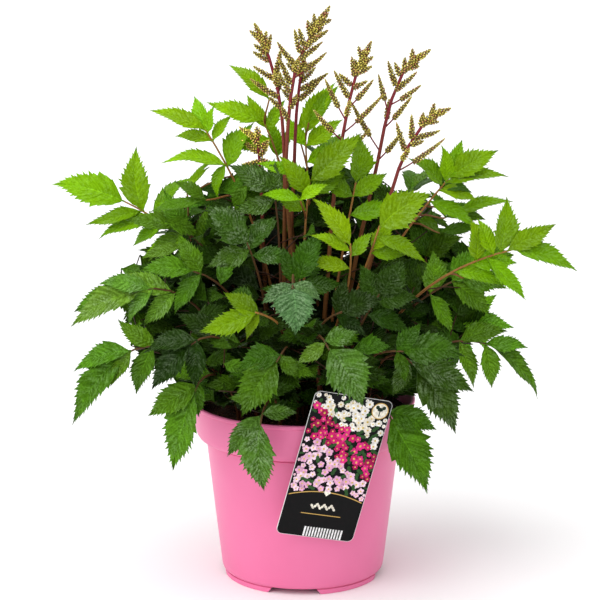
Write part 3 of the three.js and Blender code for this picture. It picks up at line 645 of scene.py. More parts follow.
def along_line(line, distance):
    """The point at a distance along a line of points, and the direction there."""
    steps = np.linalg.norm(np.diff(line, axis=0), axis=1)
    passed = np.concatenate([[0], np.cumsum(steps)])
    ends = np.clip(distance, 0, passed[-1])
    spot = np.array([np.interp(ends, passed, line[:, k]) for k in range(3)])
    index = min(np.searchsorted(passed, ends, side="right"), len(steps)) - 1
    return spot, unit(line[index + 1] - line[index])


def length_of(line):
    return np.linalg.norm(np.diff(line, axis=0), axis=1).sum()


def tube_points(form, line, foot, tip):
    """The form's points as a tube along a line, with its radius at the foot and at the tip."""
    rings = form["rings"]
    total = length_of(line)
    cap = min(0.8, total / 6)  # the rounded ends are this long
    stations = [0, *np.linspace(cap, total - cap, rings - 1), total]
    middles, headings = zip(*(along_line(line, station) for station in stations))
    across = [unit(np.cross(headings[0], (0.31, 0.95, 0.1)))]
    for heading in headings[1:]:
        across.append(unit(across[-1] - heading * np.dot(across[-1], heading)))
    over = np.cross(headings, across)
    ring = form["ring"]
    radius = foot + (tip - foot) * ring / rings
    radius = np.where((ring == 0) | (ring == rings), 0, radius)
    turn = form["turn"]
    return (np.array(middles)[ring] + (radius * np.cos(turn))[:, None] * np.array(across)[ring]
            + (radius * np.sin(turn))[:, None] * over[ring])


def grow_tube(bm, form, line, radii, tint, finish=1):
    grow(bm, form, tube_points(form, line, *radii), tint, finish)


def bezier(points, steps=40):
    t = np.linspace(0, 1, steps + 1)[:, None]
    a, b, c, d = points
    return (1 - t) ** 3 * a + 3 * (1 - t) ** 2 * t * b + 3 * (1 - t) * t ** 2 * c + t ** 3 * d


long_stalk = tube_form(16, 7)
short_stalk = tube_form(6, 5)
print("a stalk has", len(long_stalk["mesh"].polygons), "faces")

# %% [markdown]
# ## Leaves: the plan of the plant
# Each leaf has a foot in the mix (compass angle and radius), an apex where its last leaflets
# spread, the way its stalk heads there, a tone, and leaflets: distance back from the apex, angle
# in the upright plane that faces the front, length, lean and, where unusual, width over length.

# %% Leaves that show, one by one
LEAVES = {
    "far_left": ([158, 44], [-156, 64, 312], [155, 0], "fresh",
        [[0, 165, 63, 0, 0.5], [19, 97, 56, 5, 0.46], [17, -168, 49, -10, 0.3], [28, 46, 50, 12, 0.34],
         [33, -166, 52, -10, 0.38], [40, -147, 34, 10], [62, -161, 37, -5]]),
    "upper_left": ([150, 17], [-83, 20, 382], [122, 0], "fresh",
        [[0, 159, 48, 0, 0.36], [4, 112, 34, 20], [4, 78, 24, -10], [12, 172, 32, 10],
         [12, 55, 27, 10], [36, 174, 54, -5, 0.34], [37, 61, 43, 0, 0.62], [34, -105, 30, -10]]),
    "stem_left": ([115, 13], [-34, 25, 388.5], [115, 0], "fresh",
        [[0, 161, 50, 0, 0.34], [8, 121, 34, 10, 0.36], [17, -166, 35, 0], [8, 60, 29, 0, 0.4]]),
    "stem_right": ([50, 26], [2, 26, 377], [92, 0], "fresh",
        [[0, 61, 50, 0, 0.38], [10, 36, 38, 10], [10, 125, 30, 5], [24, 20, 34, 0]]),
    "arch": ([-75, 14], [6, -25, 345], [82, 0], "fresh",
        [[0, 44, 58, 0, 0.42], [10, 30, 36, 5], [10, 125, 40, -10], [24, 148, 34, -10]]),
    "upright": ([-30, 22], [44, -20, 343.5], [80, 0], "fresh",
        [[0, 88, 40, 0, 0.6], [12, 35, 34, 5], [12, 148, 34, -5], [28, 10, 40, 0]]),
    "mid_left": ([-150, 24], [-24, -34, 340], [98, 0], "deep",
        [[0, 150, 42, -5, 0.5], [9, 92, 34, 5], [9, -165, 36, -10], [26, -140, 38, -10]]),
    "right_upper": ([16, 34], [123.5, 0, 344], [50, 0], "fresh",
        [[0, 30, 46, 0], [3, 69, 36, 10], [5, 96, 31, -5], [9, 139, 36, 0, 0.56],
         [6, 8, 52, -5, 0.3], [14, -14, 34, 5, 0.5], [26, -26, 43, -10]]),
    "right_far": ([-22, 47], [173, -62, 294], [14, -5], "fresh",
        [[0, -18, 54, 0, 0.36], [6, 28, 46, 5, 0.36], [11, 84, 45, 0, 0.56], [17, 113, 32, 10],
         [23, -46, 47, -5, 0.34], [32, 97, 35, -5, 0.62], [39, 0, 41, 8, 0.4], [53, -14, 42, -10, 0.36]]),
    "left_mid": ([-166, 52], [-134, -40, 254.5], [-165, 0], "deep",
        [[0, -154, 66, 0, 0.42], [7, 175, 44, 5, 0.36], [9, -128, 36, -10], [28, -135, 38, -5],
         [26, 163, 48, 10, 0.36]]),
    "left_low": ([-152, 55], [-148.5, -60, 204], [-145, 0], "deep",
        [[0, -127, 73, 0, 0.34], [7, -160, 51, 5, 0.42], [7, -122, 34, -10, 0.36], [28, 146, 38, 5, 0.44],
         [26, -112, 42, -10, 0.5]]),
    "left_low_front": ([-130, 56], [-91, -100, 222], [-140, -10], "deep",
        [[0, -132, 48, -5, 0.5], [6, -168, 44, 5], [6, -92, 38, -10], [28, 150, 40, 0]]),
    "left_rim": ([-142, 66], [-88, -95, 182], [-110, -10], "mature",
        [[0, -106, 69, 0, 0.45], [6, -147, 49, 0], [8, -92, 28, -5, 0.54], [26, 180, 40, 0]]),
    "rim_left": ([-106, 64], [-34, -112, 159.5], [-95, -20], "mature",
        [[0, -88, 57, 0, 0.52], [7, -129, 45, 0, 0.42], [8, 2, 28, 0], [24, 175, 32, 0]]),
    "rim_right": ([-37, 68], [72, -74, 154.5], [-60, -15], "mature",
        [[0, -62, 70, -6, 0.52], [5, -21, 44, 0, 0.48]]),
    "front_left": ([-116, 42], [-21, -132, 216.5], [-125, -35], "mature",
        [[0, -123, 52, -8, 0.58], [6, -163, 36, -5, 0.62], [6, -52, 22, -5, 0.6]]),
    "trio": ([-128, 30], [-37, -148, 260.5], [150, -50], "lime",
        [[0, -162, 47, -5, 0.4], [4, 148, 32, 0, 0.5], [4, -118, 22, -10, 0.5]]),
    "centre": ([-98, 32], [-8, -150, 279], [-90, -60], "mature",
        [[0, -86, 38, -32, 0.84], [5, -150, 28, -10, 0.54], [5, -28, 25, -10, 0.54]]),
    "front": ([-74, 52], [21, -140, 228], [-60, -35], "mature",
        [[0, -58, 52, -10, 0.72], [6, -145, 27, -5, 0.5], [8, 19, 27, -5, 0.55]]),
    "upper_front_left": ([-140, 36], [-45, -80, 303], [110, -25], "deep",
        [[0, 136, 46, -5, 0.56], [6, 53, 34, 0], [6, -150, 28, -5, 0.5], [12, -166, 38, 0],
         [12, -9, 34, 0]]),
    "inner_up": ([-88, 22], [-2, -80, 273], [75, -20], "deep",
        [[0, 66, 44, 5, 0.5], [5, 3, 36, 0], [5, 112, 34, 5], [20, 160, 30, 0]]),
    "young_left": ([-48, 18], [38, -80, 302], [95, -15], "lime",
        [[0, 128, 49, 0, 0.36], [6, 155, 36, -5, 0.3], [10, 48, 26, 5], [22, 170, 38, -5, 0.34]]),
    "young_right": ([-42, 32], [61.5, -80, 316.5], [75, -15], "lime",
        [[0, 35, 50, -5, 0.6], [8, -27, 45, 0, 0.34], [22, 55, 30, 5], [24, 0, 32, 0]]),
    "inner_right": ([-62, 36], [31, -125, 256], [30, -40], "deep",
        [[0, 20, 34, -5, 0.7], [6, 75, 31, 0], [6, -35, 29, -5]]),
    "dark_right": ([-46, 46], [62, -85, 262], [60, -20], "deep",
        [[0, 58, 36, -5, 0.7], [6, 5, 34, -5, 0.6], [6, 112, 32, 0, 0.6], [22, -20, 38, -5]]),
    "right_front": ([-46, 60], [80, -118, 222], [5, -35], "deep",
        [[0, -2, 49, -5, 0.56], [5, 50, 30, 0, 0.5], [5, -75, 26, -10]]),
    "right_low": ([-30, 60], [92, -98, 203.5], [-45, -15], "mature",
        [[0, -58, 64, -3, 0.52], [7, -25, 58, 0, 0.46], [8, -112, 32, -5]]),
    "right_mid": ([-12, 62], [159.5, -30, 204.5], [-25, 0], "deep",
        [[0, -47, 59, 0, 0.34], [6, -5, 36, 5], [6, -80, 38, -5], [28, 10, 42, 10],
         [28, -70, 40, -10]]),
    "right_back": ([14, 58], [142.5, 14, 218.5], [10, 5], "deep",
        [[0, -10, 40, 0, 0.4], [6, 35, 38, 8], [6, -50, 36, -8], [28, 60, 38, 5], [28, -35, 42, -5]]),
    "right_inner": ([-6, 44], [132, -22, 262], [25, -5], "deep",
        [[0, -4, 44, 0, 0.5], [7, 48, 38, 5, 0.6], [7, -40, 42, -5, 0.5], [28, 85, 36, 5, 0.7],
         [28, -60, 38, -5]]),
    "left_upper_mid": ([174, 30], [-104, 12, 300], [140, 0], "deep",
        [[0, 172, 46, 0, 0.44], [7, 120, 40, 5], [7, -145, 42, -5, 0.4], [27, 85, 38, 5],
         [27, -120, 40, -10]]),
    "left_inner": ([-158, 42], [-92, -42, 272], [165, -5], "deep",
        [[0, 178, 44, -5, 0.46], [7, 120, 38, 0], [7, -125, 40, -5, 0.5], [26, 70, 36, 0]]),
}

# %% Leaves behind the middle, by rule
# The foot, compass angle, reach and height of the apex, slope of the stalk there, and pairs.
BACK_LEAVES = [
    ([24, 66], 26, 160, 262, 5, 2), ([40, 46], 44, 138, 318, 25, 2), ([56, 66], 60, 138, 228, -20, 2),
    ([72, 46], 76, 118, 292, 15, 2), ([90, 66], 94, 125, 236, -15, 1), ([106, 44], 108, 119, 306, 20, 2),
    ([122, 66], 124, 138, 228, -20, 2), ([138, 52], 138, 138, 276, 10, 2), ([176, 62], 168, 158, 238, -15, 2),
    ([80, 30], 72, 66, 338, 45, 2),
]
BACK_LEAFLET = {"last": 50, "taper": 0.9, "first": 7, "spacing": 24, "spread": 52}
USUAL_WIDTH = 0.46
STALK_ROOT = 129  # height of the lower end of every stalk, in the mix
ROOT = 2.2  # how far back along its stalk a leaflet is rooted
STALK_CURVE = {"rise": 0.45, "least": 62, "lean": 0.06, "bend": 0.33}
LIGHT_UP, LIGHT_OUT, LIGHT_FRONT = 0.55, 0.35, 0.6
UP, FRONT = np.array([0.0, 0, 1]), np.array([0.0, -1, 0])


def blade_normal(direction, outward, roll):
    """The way a blade faces: up and outwards, and to the front unless its leaf is at the back."""
    light = LIGHT_UP * UP + LIGHT_OUT * outward
    if outward[1] < 0.6:
        light = light + LIGHT_FRONT * FRONT
    return turned(unit(light - direction * np.dot(light, direction)), direction, roll)


def stalk_line(foot, apex, heading):
    """A stalk rises nearly upright out of the mix and bends over to its apex."""
    root = polar(foot[0], foot[1], STALK_ROOT)
    span = np.linalg.norm(apex - root)
    rise = root + UP * max(STALK_CURVE["rise"] * span, STALK_CURVE["least"])
    rise = rise + STALK_CURVE["lean"] * (apex - root) * (1, 1, 0)
    return bezier((root, rise, apex - heading * STALK_CURVE["bend"] * span, apex))


def leaflet_at(line, back, direction, length, width, outward, seed):
    base, _ = along_line(line, length_of(line) - back - ROOT)
    return {"base": base, "direction": direction, "length": length, "width": width, "outward": outward,
            "normal": blade_normal(direction, outward, 14 * draw(seed)), "seed": seed}


def new_leaf(name, line, outward, tone, leaflets):
    return {"name": name, "line": line, "outward": outward, "tone": tone, "leaflets": leaflets, "sprigs": []}


def drawn_leaf(name, number):
    foot, apex, heading, tone, rows = LEAVES[name]
    apex = np.array(apex, float)
    line = stalk_line(foot, apex, facing(*heading))
    outward = FRONT if name in ("stem_left", "stem_right") else unit(apex * (1, 1, 0))
    leaflets = []
    for k, (back, angle, length, lean, *width) in enumerate(rows):
        leaflets.append(leaflet_at(line, back, facing(angle, lean), length, *(width or [USUAL_WIDTH]),
                                   outward, number * 11 + k))
    return new_leaf(name, line, outward, tone, leaflets)


def back_leaf(number, first_seed):
    foot, angle, reach, height, slope, pairs = BACK_LEAVES[number]
    apex, outward = polar(angle, reach, height), polar(angle, 1, 0)
    heading = outward * math.cos(math.radians(slope)) + UP * math.sin(math.radians(slope))
    line = stalk_line(foot, apex, heading)
    across = np.cross(UP, outward)
    leaflets = []
    for pair in range(pairs + 1):
        for side in ([-1, 1] if pair else [0]):
            back = BACK_LEAFLET["first"] + (pair - 1) * BACK_LEAFLET["spacing"] if pair else 0
            spread = side * (BACK_LEAFLET["spread"] + 7 * draw(pair * 3.1 + side + angle))
            aim = unit(turned(turned(heading, UP, spread), across, 8))
            length = BACK_LEAFLET["last"] * BACK_LEAFLET["taper"] ** pair
            seed = first_seed + len(leaflets)
            leaflets.append(leaflet_at(line, back, aim, length, USUAL_WIDTH, outward, seed))
    return new_leaf(f"back_{number + 1}", line, outward, "deep", leaflets)


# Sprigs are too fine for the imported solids: each is a short stalk from a leaf's own stalk to a
# point, and the leaflets there by angle, length, lean, width and tone.
SPRIGS = [
    ("stem_left", 6, (-28, 14, 406), [[139, 44, 10, 0.36, "fresh"]]),
    ("stem_right", 8, (5, 20, 386), [[50, 40, 10, 0.3, "fresh"]]),
    ("far_left", 78, (-98, 30, 327), [[49, 32, 5, 0.3, "fresh"]]),
    ("stem_right", 30, (-4, 34, 376), [[57, 44, 0, 0.26, "lime"]]),
    ("stem_left", 40, (-22, 50, 352), [[100, 34, 5, 0.4, "fresh"], [60, 30, 5, 0.36, "fresh"]]),
    ("right_upper", 34, (129, 20, 308), [[13, 49, 5, 0.28, "fresh"], [-10, 26, 0, 0.4, "deep"]]),
    ("right_upper", 44, (121, 25, 304), [[27, 25, 5, 0.5, "deep"], [120, 26, 10, 0.5, "deep"]]),
    ("right_upper", 52, (116, 20, 292), [[10, 36, 0, 0.34, "deep"], [150, 26, 5, 0.5, "deep"]]),
    ("right_upper", 14, (115, 5, 333), [[-6, 26, -5, 0.5, "deep"], [100, 20, 0, 0.5, "deep"]]),
    ("right_inner", 34, (105, 38, 268), [[30, 36, -5, 0.62, "deep"], [118, 32, -5, 0.6, "deep"]]),
    ("right_far", 60, (134, -22, 262), [[-14, 38, 0, 0.28, "deep"]]),
    ("upper_left", 48, (-98, 20, 326), [[50, 29, 0, 0.34, "fresh"]]),
    ("upper_left", 66, (-81, -2, 324), [[-169, 48, 0, 0.24, "deep"], [150, 30, 5, 0.4, "deep"]]),
    ("left_upper_mid", 16, (-111, 28, 296), [[124, 27, 5, 0.5, "fresh"], [80, 24, 5, 0.4, "fresh"]]),
    ("arch", 16, (-4, -30, 350), [[165, 35, 0, 0.3, "fresh"]]),
    ("arch", 34, (-2, -40, 330), [[172, 32, 0, 0.34, "fresh"], [30, 26, 0, 0.4, "fresh"]]),
    ("left_upper_mid", 34, (-100, -10, 286), [[-165, 36, -5, 0.36, "mature"], [-110, 20, -10, 0.4, "mature"]]),
]


def add_sprigs():
    for number, (name, back, base, rows) in enumerate(SPRIGS):
        leaf = next(leaf for leaf in leaves if leaf["name"] == name)
        foot, heading = along_line(leaf["line"], length_of(leaf["line"]) - back)
        base = np.array(base, float)
        line = bezier((foot, foot + heading * 6, base - UP * 4, base), 8)
        leaf["sprigs"].append(line)
        for k, (angle, length, lean, width, tone) in enumerate(rows):
            seed = 700 + number * 7 + k
            leaflet = leaflet_at(line, -ROOT, facing(angle, lean), length, width, leaf["outward"], seed)
            leaf["leaflets"].append({**leaflet, "tone": tone})


leaves = [drawn_leaf(name, number) for number, name in enumerate(LEAVES)]
leaves += [back_leaf(number, (len(LEAVES) + number) * 11) for number in range(len(BACK_LEAVES))]
add_sprigs()
print(len(leaves), "leaves with", sum(len(leaf["leaflets"]) for leaf in leaves), "main leaflets")

# %% Spikes: the plan
# Each spike: the length of its bud-covered tip, the line of its stem, and its side branches by
# their distance back from the tip, angle, length and lean.
SPIKES = {
    "tall_left": (27,
        [[-14, 4], [-16, 2, 250], [-15, -3, 340], [-18, -1, 400], [-26, 0, 437], [-39.5, 0, 470]],
        [[12, 150, 9, 10], [16, 75, 8, -20], [22, 71, 10, 15], [25, 150, 11, -10],
         [31, 160, 13, 10], [45, 76, 20, 0], [47, 154, 19, -20], [52, 100, 16, -55], [56, 80, 16, 55],
         [62, 155, 24, 5], [71, 140, 10, -10]]),
    "tall_right": (31,
        [[-3, -9], [-7, -6, 250], [-14, -6, 345], [-11, -6, 400], [-5, -6, 438], [22, 0, 484]],
        [[14, 10, 8, -10], [20, 95, 9, 10], [27, 102, 10, -10], [32, 22, 16, 0], [36, 112, 11, 5],
         [39, 38, 17, -15], [43, 107, 16, -10], [48, 29, 20, 0], [54, 133, 20, 0], [58, 70, 16, -55],
         [65, 31, 30, 5], [70, 119, 20, 10], [77, 124, 16, -10], [90, 60, 10, 0], [99, 120, 9, -5]]),
    "middle": (20,
        [[-10, 16], [-12, 14, 250], [-8, 10, 330], [-5, 9, 400], [1, 12, 444]],
        [[10, 20, 10, 10], [15, 150, 12, 10], [22, 35, 16, 30], [28, 22, 24, 5], [37, 35, 21, 5],
         [40, 145, 16, 30]]),
    "right_inner": (31,
        [[12, -4], [20, -8, 250], [28, -10, 350], [36, -10, 395], [42, -10, 425], [56, -8, 456]],
        [[14, 110, 8, -10], [18, 22, 9, 10], [26, 18, 11, -10],
         [30, 100, 13, 0], [37, 145, 11, 10], [39, 17, 11, 5], [48, 123, 21, 0], [56, 43, 26, 0],
         [62, 80, 18, -55], [66, 121, 31, 5], [77, 38, 39, 0], [83, 138, 29, -5], [98, 36, 30, 5]]),
    "right_outer": (30,
        [[24, 8], [44, 2, 270], [61, -2, 350], [70, 0, 395], [83, 4, 430], [105, 5, 448]],
        [[16, 88, 8, 10], [22, 0, 8, -10], [31, 115, 9, 0],
         [40, 110, 17, 0], [44, 34, 20, 0], [56, 25, 26, 5], [62, 107, 26, -5], [68, 75, 18, 55],
         [76, 44, 29, 0], [95, 125, 40, 5], [103, 46, 27, -15]]),
    "right_low": (29,
        [[26, -5], [48, -12, 240], [71, -16, 325], [85, -15, 367], [103, -15, 393], [121, -15, 402]],
        [[15, 75, 8, 10], [20, -12, 8, 0], [27, 80, 9, -10],
         [38, 8, 20, 0], [40, 91, 16, 0], [44, 9, 10, -20], [51, 110, 20, 5], [58, 60, 16, -55],
         [68, 28, 41, 0]]),
    "young": (10,
        [[-24, 18], [-32, 24, 240], [-35, 16, 330], [-38, 4, 384]],
        [[8, 155, 15, 0], [14, 125, 13, -20], [17, 35, 9, -20], [21, 150, 14, 10], [24, 50, 11, -20],
         [27, -20, 12, -15], [29, -165, 13, -15]]),
}


def stem_line(points):
    """A smooth line through the stem's points, from the mix to the tip."""
    knots = np.array([point if len(point) == 3 else [*point, STALK_ROOT] for point in points], float)
    knots = np.vstack([2 * knots[0] - knots[1], knots, 2 * knots[-1] - knots[-2]])
    line = []
    for a, b, c, d in zip(knots, knots[1:], knots[2:], knots[3:]):
        times = np.cumsum([0] + [np.linalg.norm(q - p) ** 0.5 for p, q in ((a, b), (b, c), (c, d))])
        for t in np.linspace(times[1], times[2], 12, endpoint=False):
            first = [((times[i + 1] - t) * p + (t - times[i]) * q) / (times[i + 1] - times[i])
                     for i, (p, q) in enumerate(((a, b), (b, c), (c, d)))]
            second = [((times[i + 2] - t) * first[i] + (t - times[i]) * first[i + 1])
                      / (times[i + 2] - times[i]) for i in (0, 1)]
            line.append(((times[2] - t) * second[0] + (t - times[1]) * second[1]) / (times[2] - times[1]))
    return np.array(line + [knots[-2]])


spike_lines = {name: stem_line(points) for name, (_, points, _) in SPIKES.items()}
print(len(spike_lines), "stems planned")

# %% [markdown]
# ## Leaves: the dense inside
# Lower down, each leaf stalk carries smaller side branches of up to three leaflets, which make
# the inside of the bush dense and, with their painted shade, dark. They grow by a rule, and a
# leaflet is left out where it would hide a main leaflet, come too close to another, hide the
# label or leave the bush. Where light still shines through from the front, single leaflets are
# tried at several depths.

# %% Side branches by rule
SIDE_BRANCHES = {"first": 34, "spacing": 14, "around": 4, "length": 34, "leaflet": 36, "lowest": 150}
BUSH_MIDDLE, BUSH_REACH = np.array([0, 0, 225]), np.array([165, 140, 125])
BUSH_SEEN = {"middle": 6, "wide": 152, "high": 106}  # the same bush as the camera sees it
LABEL_SPACE = np.array([[38, -105, 165], [40, 40, 26]])  # middle and reach of the space before the label
CLEAR_ACROSS, CLEAR_BEFORE = 8, 3  # how far an inner leaflet stays from a front one, as seen
SPIRAL = 137.5  # degrees from one side branch or bud to the next
INNER_SPREADS, INNER_SIDES = (0, 55, -55), 0.86  # leaflets of a branch, and the size of the side ones


def outline_samples(leaflet):
    """Points on a leaflet's middle and edges, to test it against its neighbours."""
    side = np.cross(leaflet["direction"], leaflet["normal"])
    reach = leaflet["direction"] * leaflet["length"]
    points = [leaflet["base"] + reach * share for share in (0.15, 0.4, 0.65, 0.95)]
    half = 0.42 * leaflet["width"] * leaflet["length"]
    middle = leaflet["base"] + reach * 0.42
    return np.array(points + [middle + side * half, middle - side * half])


def seen_from_front(points):
    """Each point's place across and up the camera's view, and its distance from the eye."""
    forward = np.array([0, math.cos(EYE_PITCH), -math.sin(EYE_PITCH)])
    upward = np.array([0, math.sin(EYE_PITCH), math.cos(EYE_PITCH)])
    rays = points - np.array(EYE) / MM
    depth = rays @ forward
    return np.stack([rays[:, 0] / depth * EYE_DISTANCE, rays @ upward / depth * EYE_DISTANCE, depth], axis=1)


taken = np.concatenate([outline_samples(x) for leaf in leaves for x in leaf["leaflets"]])
open_stems = [line[line[:, 2] > BUSH_MIDDLE[2]][::2] for line in spike_lines.values()]
shown = [leaf for leaf in leaves[:len(LEAVES)]
         if leaf["tone"] in ("lime", "fresh") or leaf["line"][-1][1] < 10]
front_seen = seen_from_front(np.concatenate([outline_samples(x) for leaf in shown for x in leaf["leaflets"]]
                                            + open_stems))


def how_far_out(points):
    """0 in the middle of the bush and 1 at its skin, which is an egg lying on the pot."""
    return np.linalg.norm((points - BUSH_MIDDLE) / BUSH_REACH, axis=-1)


def has_room(leaflet, least=4.5):
    """Whether a leaflet keeps inside the bush, clear of what shows and this far from others."""
    samples = outline_samples(leaflet)
    if samples[:, 2].min() < SIDE_BRANCHES["lowest"] or how_far_out(samples).max() > 1:
        return False
    if (np.abs(samples - LABEL_SPACE[0]) < LABEL_SPACE[1]).all(axis=1).any():
        return False
    seen = seen_from_front(samples)
    egg = (seen[:, :2] - (0, BUSH_SEEN["middle"])) / (BUSH_SEEN["wide"], BUSH_SEEN["high"])
    if (egg ** 2).sum(axis=1).max() > 1:
        return False
    near = np.hypot(*(seen[:, None, :2] - front_seen[None, :, :2]).transpose(2, 0, 1)) < CLEAR_ACROSS
    if (near & (seen[:, None, 2] < front_seen[None, :, 2] + CLEAR_BEFORE)).any():
        return False
    return np.linalg.norm(samples[:, None] - taken[None], axis=2).min() > least


def side_branches(leaf, number):
    """The side branches of a leaf: each a stalk line and its leaflets."""
    global taken
    total = length_of(leaf["line"])
    found = []
    first, spacing, per_step = (SIDE_BRANCHES[key] for key in ("first", "spacing", "around"))
    for step in range(int((total - first - 12) / spacing) * per_step):
        seed = number * 31 + step * 7 + 0.5
        back = first + (step + 0.5 * draw(seed)) / per_step * spacing
        foot, heading = along_line(leaf["line"], total - back)
        around = SPIRAL * step + 40 * draw(seed)
        aim = turned(unit(np.cross(heading, UP + 0.01)), heading, around)
        aim = unit(aim + 0.3 * heading + 0.15 * leaf["outward"])
        tip = foot + aim * SIDE_BRANCHES["length"] * (1 + 0.5 * draw(seed + 1))
        line = np.array([foot, (foot + tip) / 2 + UP * 2, tip])
        group = []
        for k, spread in enumerate(INNER_SPREADS):
            level = unit(aim * (1, 1, 0.5) + 0.1 * UP)
            direction = unit(turned(level, UP, spread + 9 * draw(seed + k)))
            size = SIDE_BRANCHES["leaflet"] * (1 + 0.2 * draw(seed + k + 2)) * (1 if k == 0 else INNER_SIDES)
            leaflet = leaflet_at(line, 0.5 + 2 * k, direction, size, 0.5, leaf["outward"], seed + 0.1 * k)
            if has_room(leaflet):
                group.append(leaflet)
        if group:
            taken = np.concatenate([taken, *(outline_samples(x) for x in group)])
            found.append((line, group))
    return found


for number, leaf in enumerate(leaves):
    leaf["branches"] = side_branches(leaf, number)
print(sum(len(group) for leaf in leaves for _, group in leaf["branches"]), "inner leaflets")

# %% Leaflets where light still shines through
CELL = 2.0  # the camera's view is checked in squares of this size
GAP_SEEN = {"wide": 146, "high": 100}  # the part of the bush's egg that should be closed
GAP_DEPTHS = (20, 45, 0, 70, -25, 90, 32, 58, 80, 105, 120)
FIRST_ROUND, LAST_ROUND = 3.2, 2.0  # how far leaflets stay apart in the two rounds
LONGEST_STALK = 60
GAP_LEAFLET = {"length": 33, "vary": 6, "width": 0.52, "lean": 15}


def squares_of(points):
    return map(tuple, np.round(seen_from_front(points)[:, :2] / CELL).astype(int).tolist())


def cells_of(leaflet):
    """The squares of the camera's view that a leaflet covers."""
    grids = np.meshgrid(np.linspace(0.08, 0.92, 12), (-0.8, -0.4, 0, 0.4, 0.8))
    along, across = (grid.ravel() for grid in grids)
    half = 0.5 * leaflet["width"] * leaflet["length"] * outline(along) * across
    points = leaflet["base"] + np.outer(along * leaflet["length"], leaflet["direction"])
    points = points + np.outer(half, np.cross(leaflet["direction"], leaflet["normal"]))
    points += np.outer(0.3 * leaflet["length"] * along * (1 - along), leaflet["normal"])
    return set(squares_of(points))


def spot_at(cell, depth):
    """The point of the bush that is seen in a square, at a distance behind the middle."""
    across, up = (step * CELL / EYE_DISTANCE for step in cell)
    ray = np.array([across, math.cos(EYE_PITCH) + up * math.sin(EYE_PITCH),
                    up * math.cos(EYE_PITCH) - math.sin(EYE_PITCH)])
    return np.array(EYE) / MM + ray * (depth + EYE_DISTANCE) / ray[1]


covered = set()
for leaf in leaves:
    for leaflet in leaf["leaflets"] + [x for _, group in leaf["branches"] for x in group]:
        covered |= cells_of(leaflet)
stalks = np.concatenate([leaf["line"] for leaf in leaves])
owners = np.repeat(np.arange(len(leaves)), [len(leaf["line"]) for leaf in leaves])
gaps = [(i, k) for i in range(-74, 75) for k in range(-46, 52) if (i, k) not in covered
        and (i * CELL / GAP_SEEN["wide"]) ** 2
        + ((k * CELL - BUSH_SEEN["middle"]) / GAP_SEEN["high"]) ** 2 < 1]
gaps.sort(key=lambda cell: draw(cell[0] * 1.7 + cell[1] * 0.31))
filled = 0
tries = [(cell, least) for least in (FIRST_ROUND, LAST_ROUND) for cell in gaps]
for number, (cell, least) in enumerate(tries):
    for depth in GAP_DEPTHS:
        if cell in covered:
            break
        seed = 3000 + number + depth * 0.01
        size = GAP_LEAFLET["length"] + GAP_LEAFLET["vary"] * draw(seed)
        direction = facing(180 * draw(seed + 0.1), GAP_LEAFLET["lean"] * draw(seed + 0.2))
        base = spot_at(cell, depth) - direction * 0.42 * size
        steps = np.linalg.norm(stalks - base, axis=1) + LONGEST_STALK * (stalks[:, 2] > base[2] - 4)
        nearest = steps.argmin()
        line = np.array([stalks[nearest], (stalks[nearest] + base) / 2 - direction * 3, base])
        outward = unit(base * (1, 1, 0))
        leaflet = leaflet_at(line, -ROOT, direction, size, GAP_LEAFLET["width"], outward, seed)
        way = line[0] + np.outer((0.3, 0.5, 0.7), base - line[0])  # no bare stalk crosses open air
        near_enough = steps[nearest] < LONGEST_STALK
        if near_enough and covered.issuperset(squares_of(way)) and has_room(leaflet, least):
            taken = np.concatenate([taken, outline_samples(leaflet)])
            leaves[owners[nearest]]["branches"].append((line, [leaflet]))
            covered |= cells_of(leaflet)
            filled += 1
still_open = sum(cell not in covered for cell in gaps)
print(len(gaps), "squares of light,", filled, "leaflets grown there,", still_open, "left")

# %% Leaves: grow each one
STALK_RADII, SPRIG_RADII, BRANCH_RADII = (1.8, 0.66), (0.9, 0.7), (0.65, 0.5)  # at foot and tip
FINE_FROM = 30  # a leaflet of at least this length has the finest form
# Inner leaflets are painted darker in the middle of the bush, which is painted shade. Each step
# outwards, as a share of the bush: where it starts, over how much it rises and how much painted light it adds.
INNER_LIGHT, INNER_STEPS = 0.36, ((0.25, 0.4, 0.6), (0.6, 0.32, 1.6))
STALK_BROWN, STALK_GREEN = np.array(linear(104, 54, 36)), np.array(linear(88, 64, 34))
STALK_TAN = np.array(linear(158, 112, 54))
TONES_BY_AGE_AND_SHADE = {  # leaves whose tone differs from the usual one of their age: painted shade (shady, dim), painted sheen (sheen), or an older green (mature)
    "left_low_front": "shady", "inner_right": "shady", "dark_right": "shady", "mid_left": "dim",
    "left_rim": "dim", "rim_right": "dim", "front_left": "dim", "upper_front_left": "dim", "inner_up": "dim",
    "right_front": "dim", "right_low": "dim", "centre": "sheen", "left_mid": "mature",
}
PAINTED_LEAF_LIGHT = {  # painted light and shade: leaves painted lighter or darker than the others of their tone, for the light that falls on them
    "far_left": 0.87, "stem_left": 1.1, "stem_right": 1.2, "arch": 0.62, "upright": 0.64, "right_far": 0.88,
    "left_mid": 1.45, "left_low_front": 0.55, "left_rim": 1.6, "rim_left": 0.9, "rim_right": 1.4, "trio": 0.47,
    "upper_front_left": 0.8, "inner_up": 0.7, "young_left": 0.72, "young_right": 0.62,
    "right_mid": 1.15, "right_back": 2.2, "right_upper": 0.78, "inner_right": 0.5, "right_low": 0.6,
    "right_inner": 1.2, "left_upper_mid": 1.2, "left_inner": 1.1, "front_left": 1.2, "front": 0.92,
}
# The glossy finish has more painted sheen and glints. The pleated one has the deepest painted shade in its
# vein troughs and the most painted glints.
GLOSSY_PAINTED_SHEEN_LEAVES = ("centre", "front", "rim_left", "left_mid", "right_low", "upper_front_left")
PLEATED_PAINTED_SHADE_LEAVES = ("mid_left",)


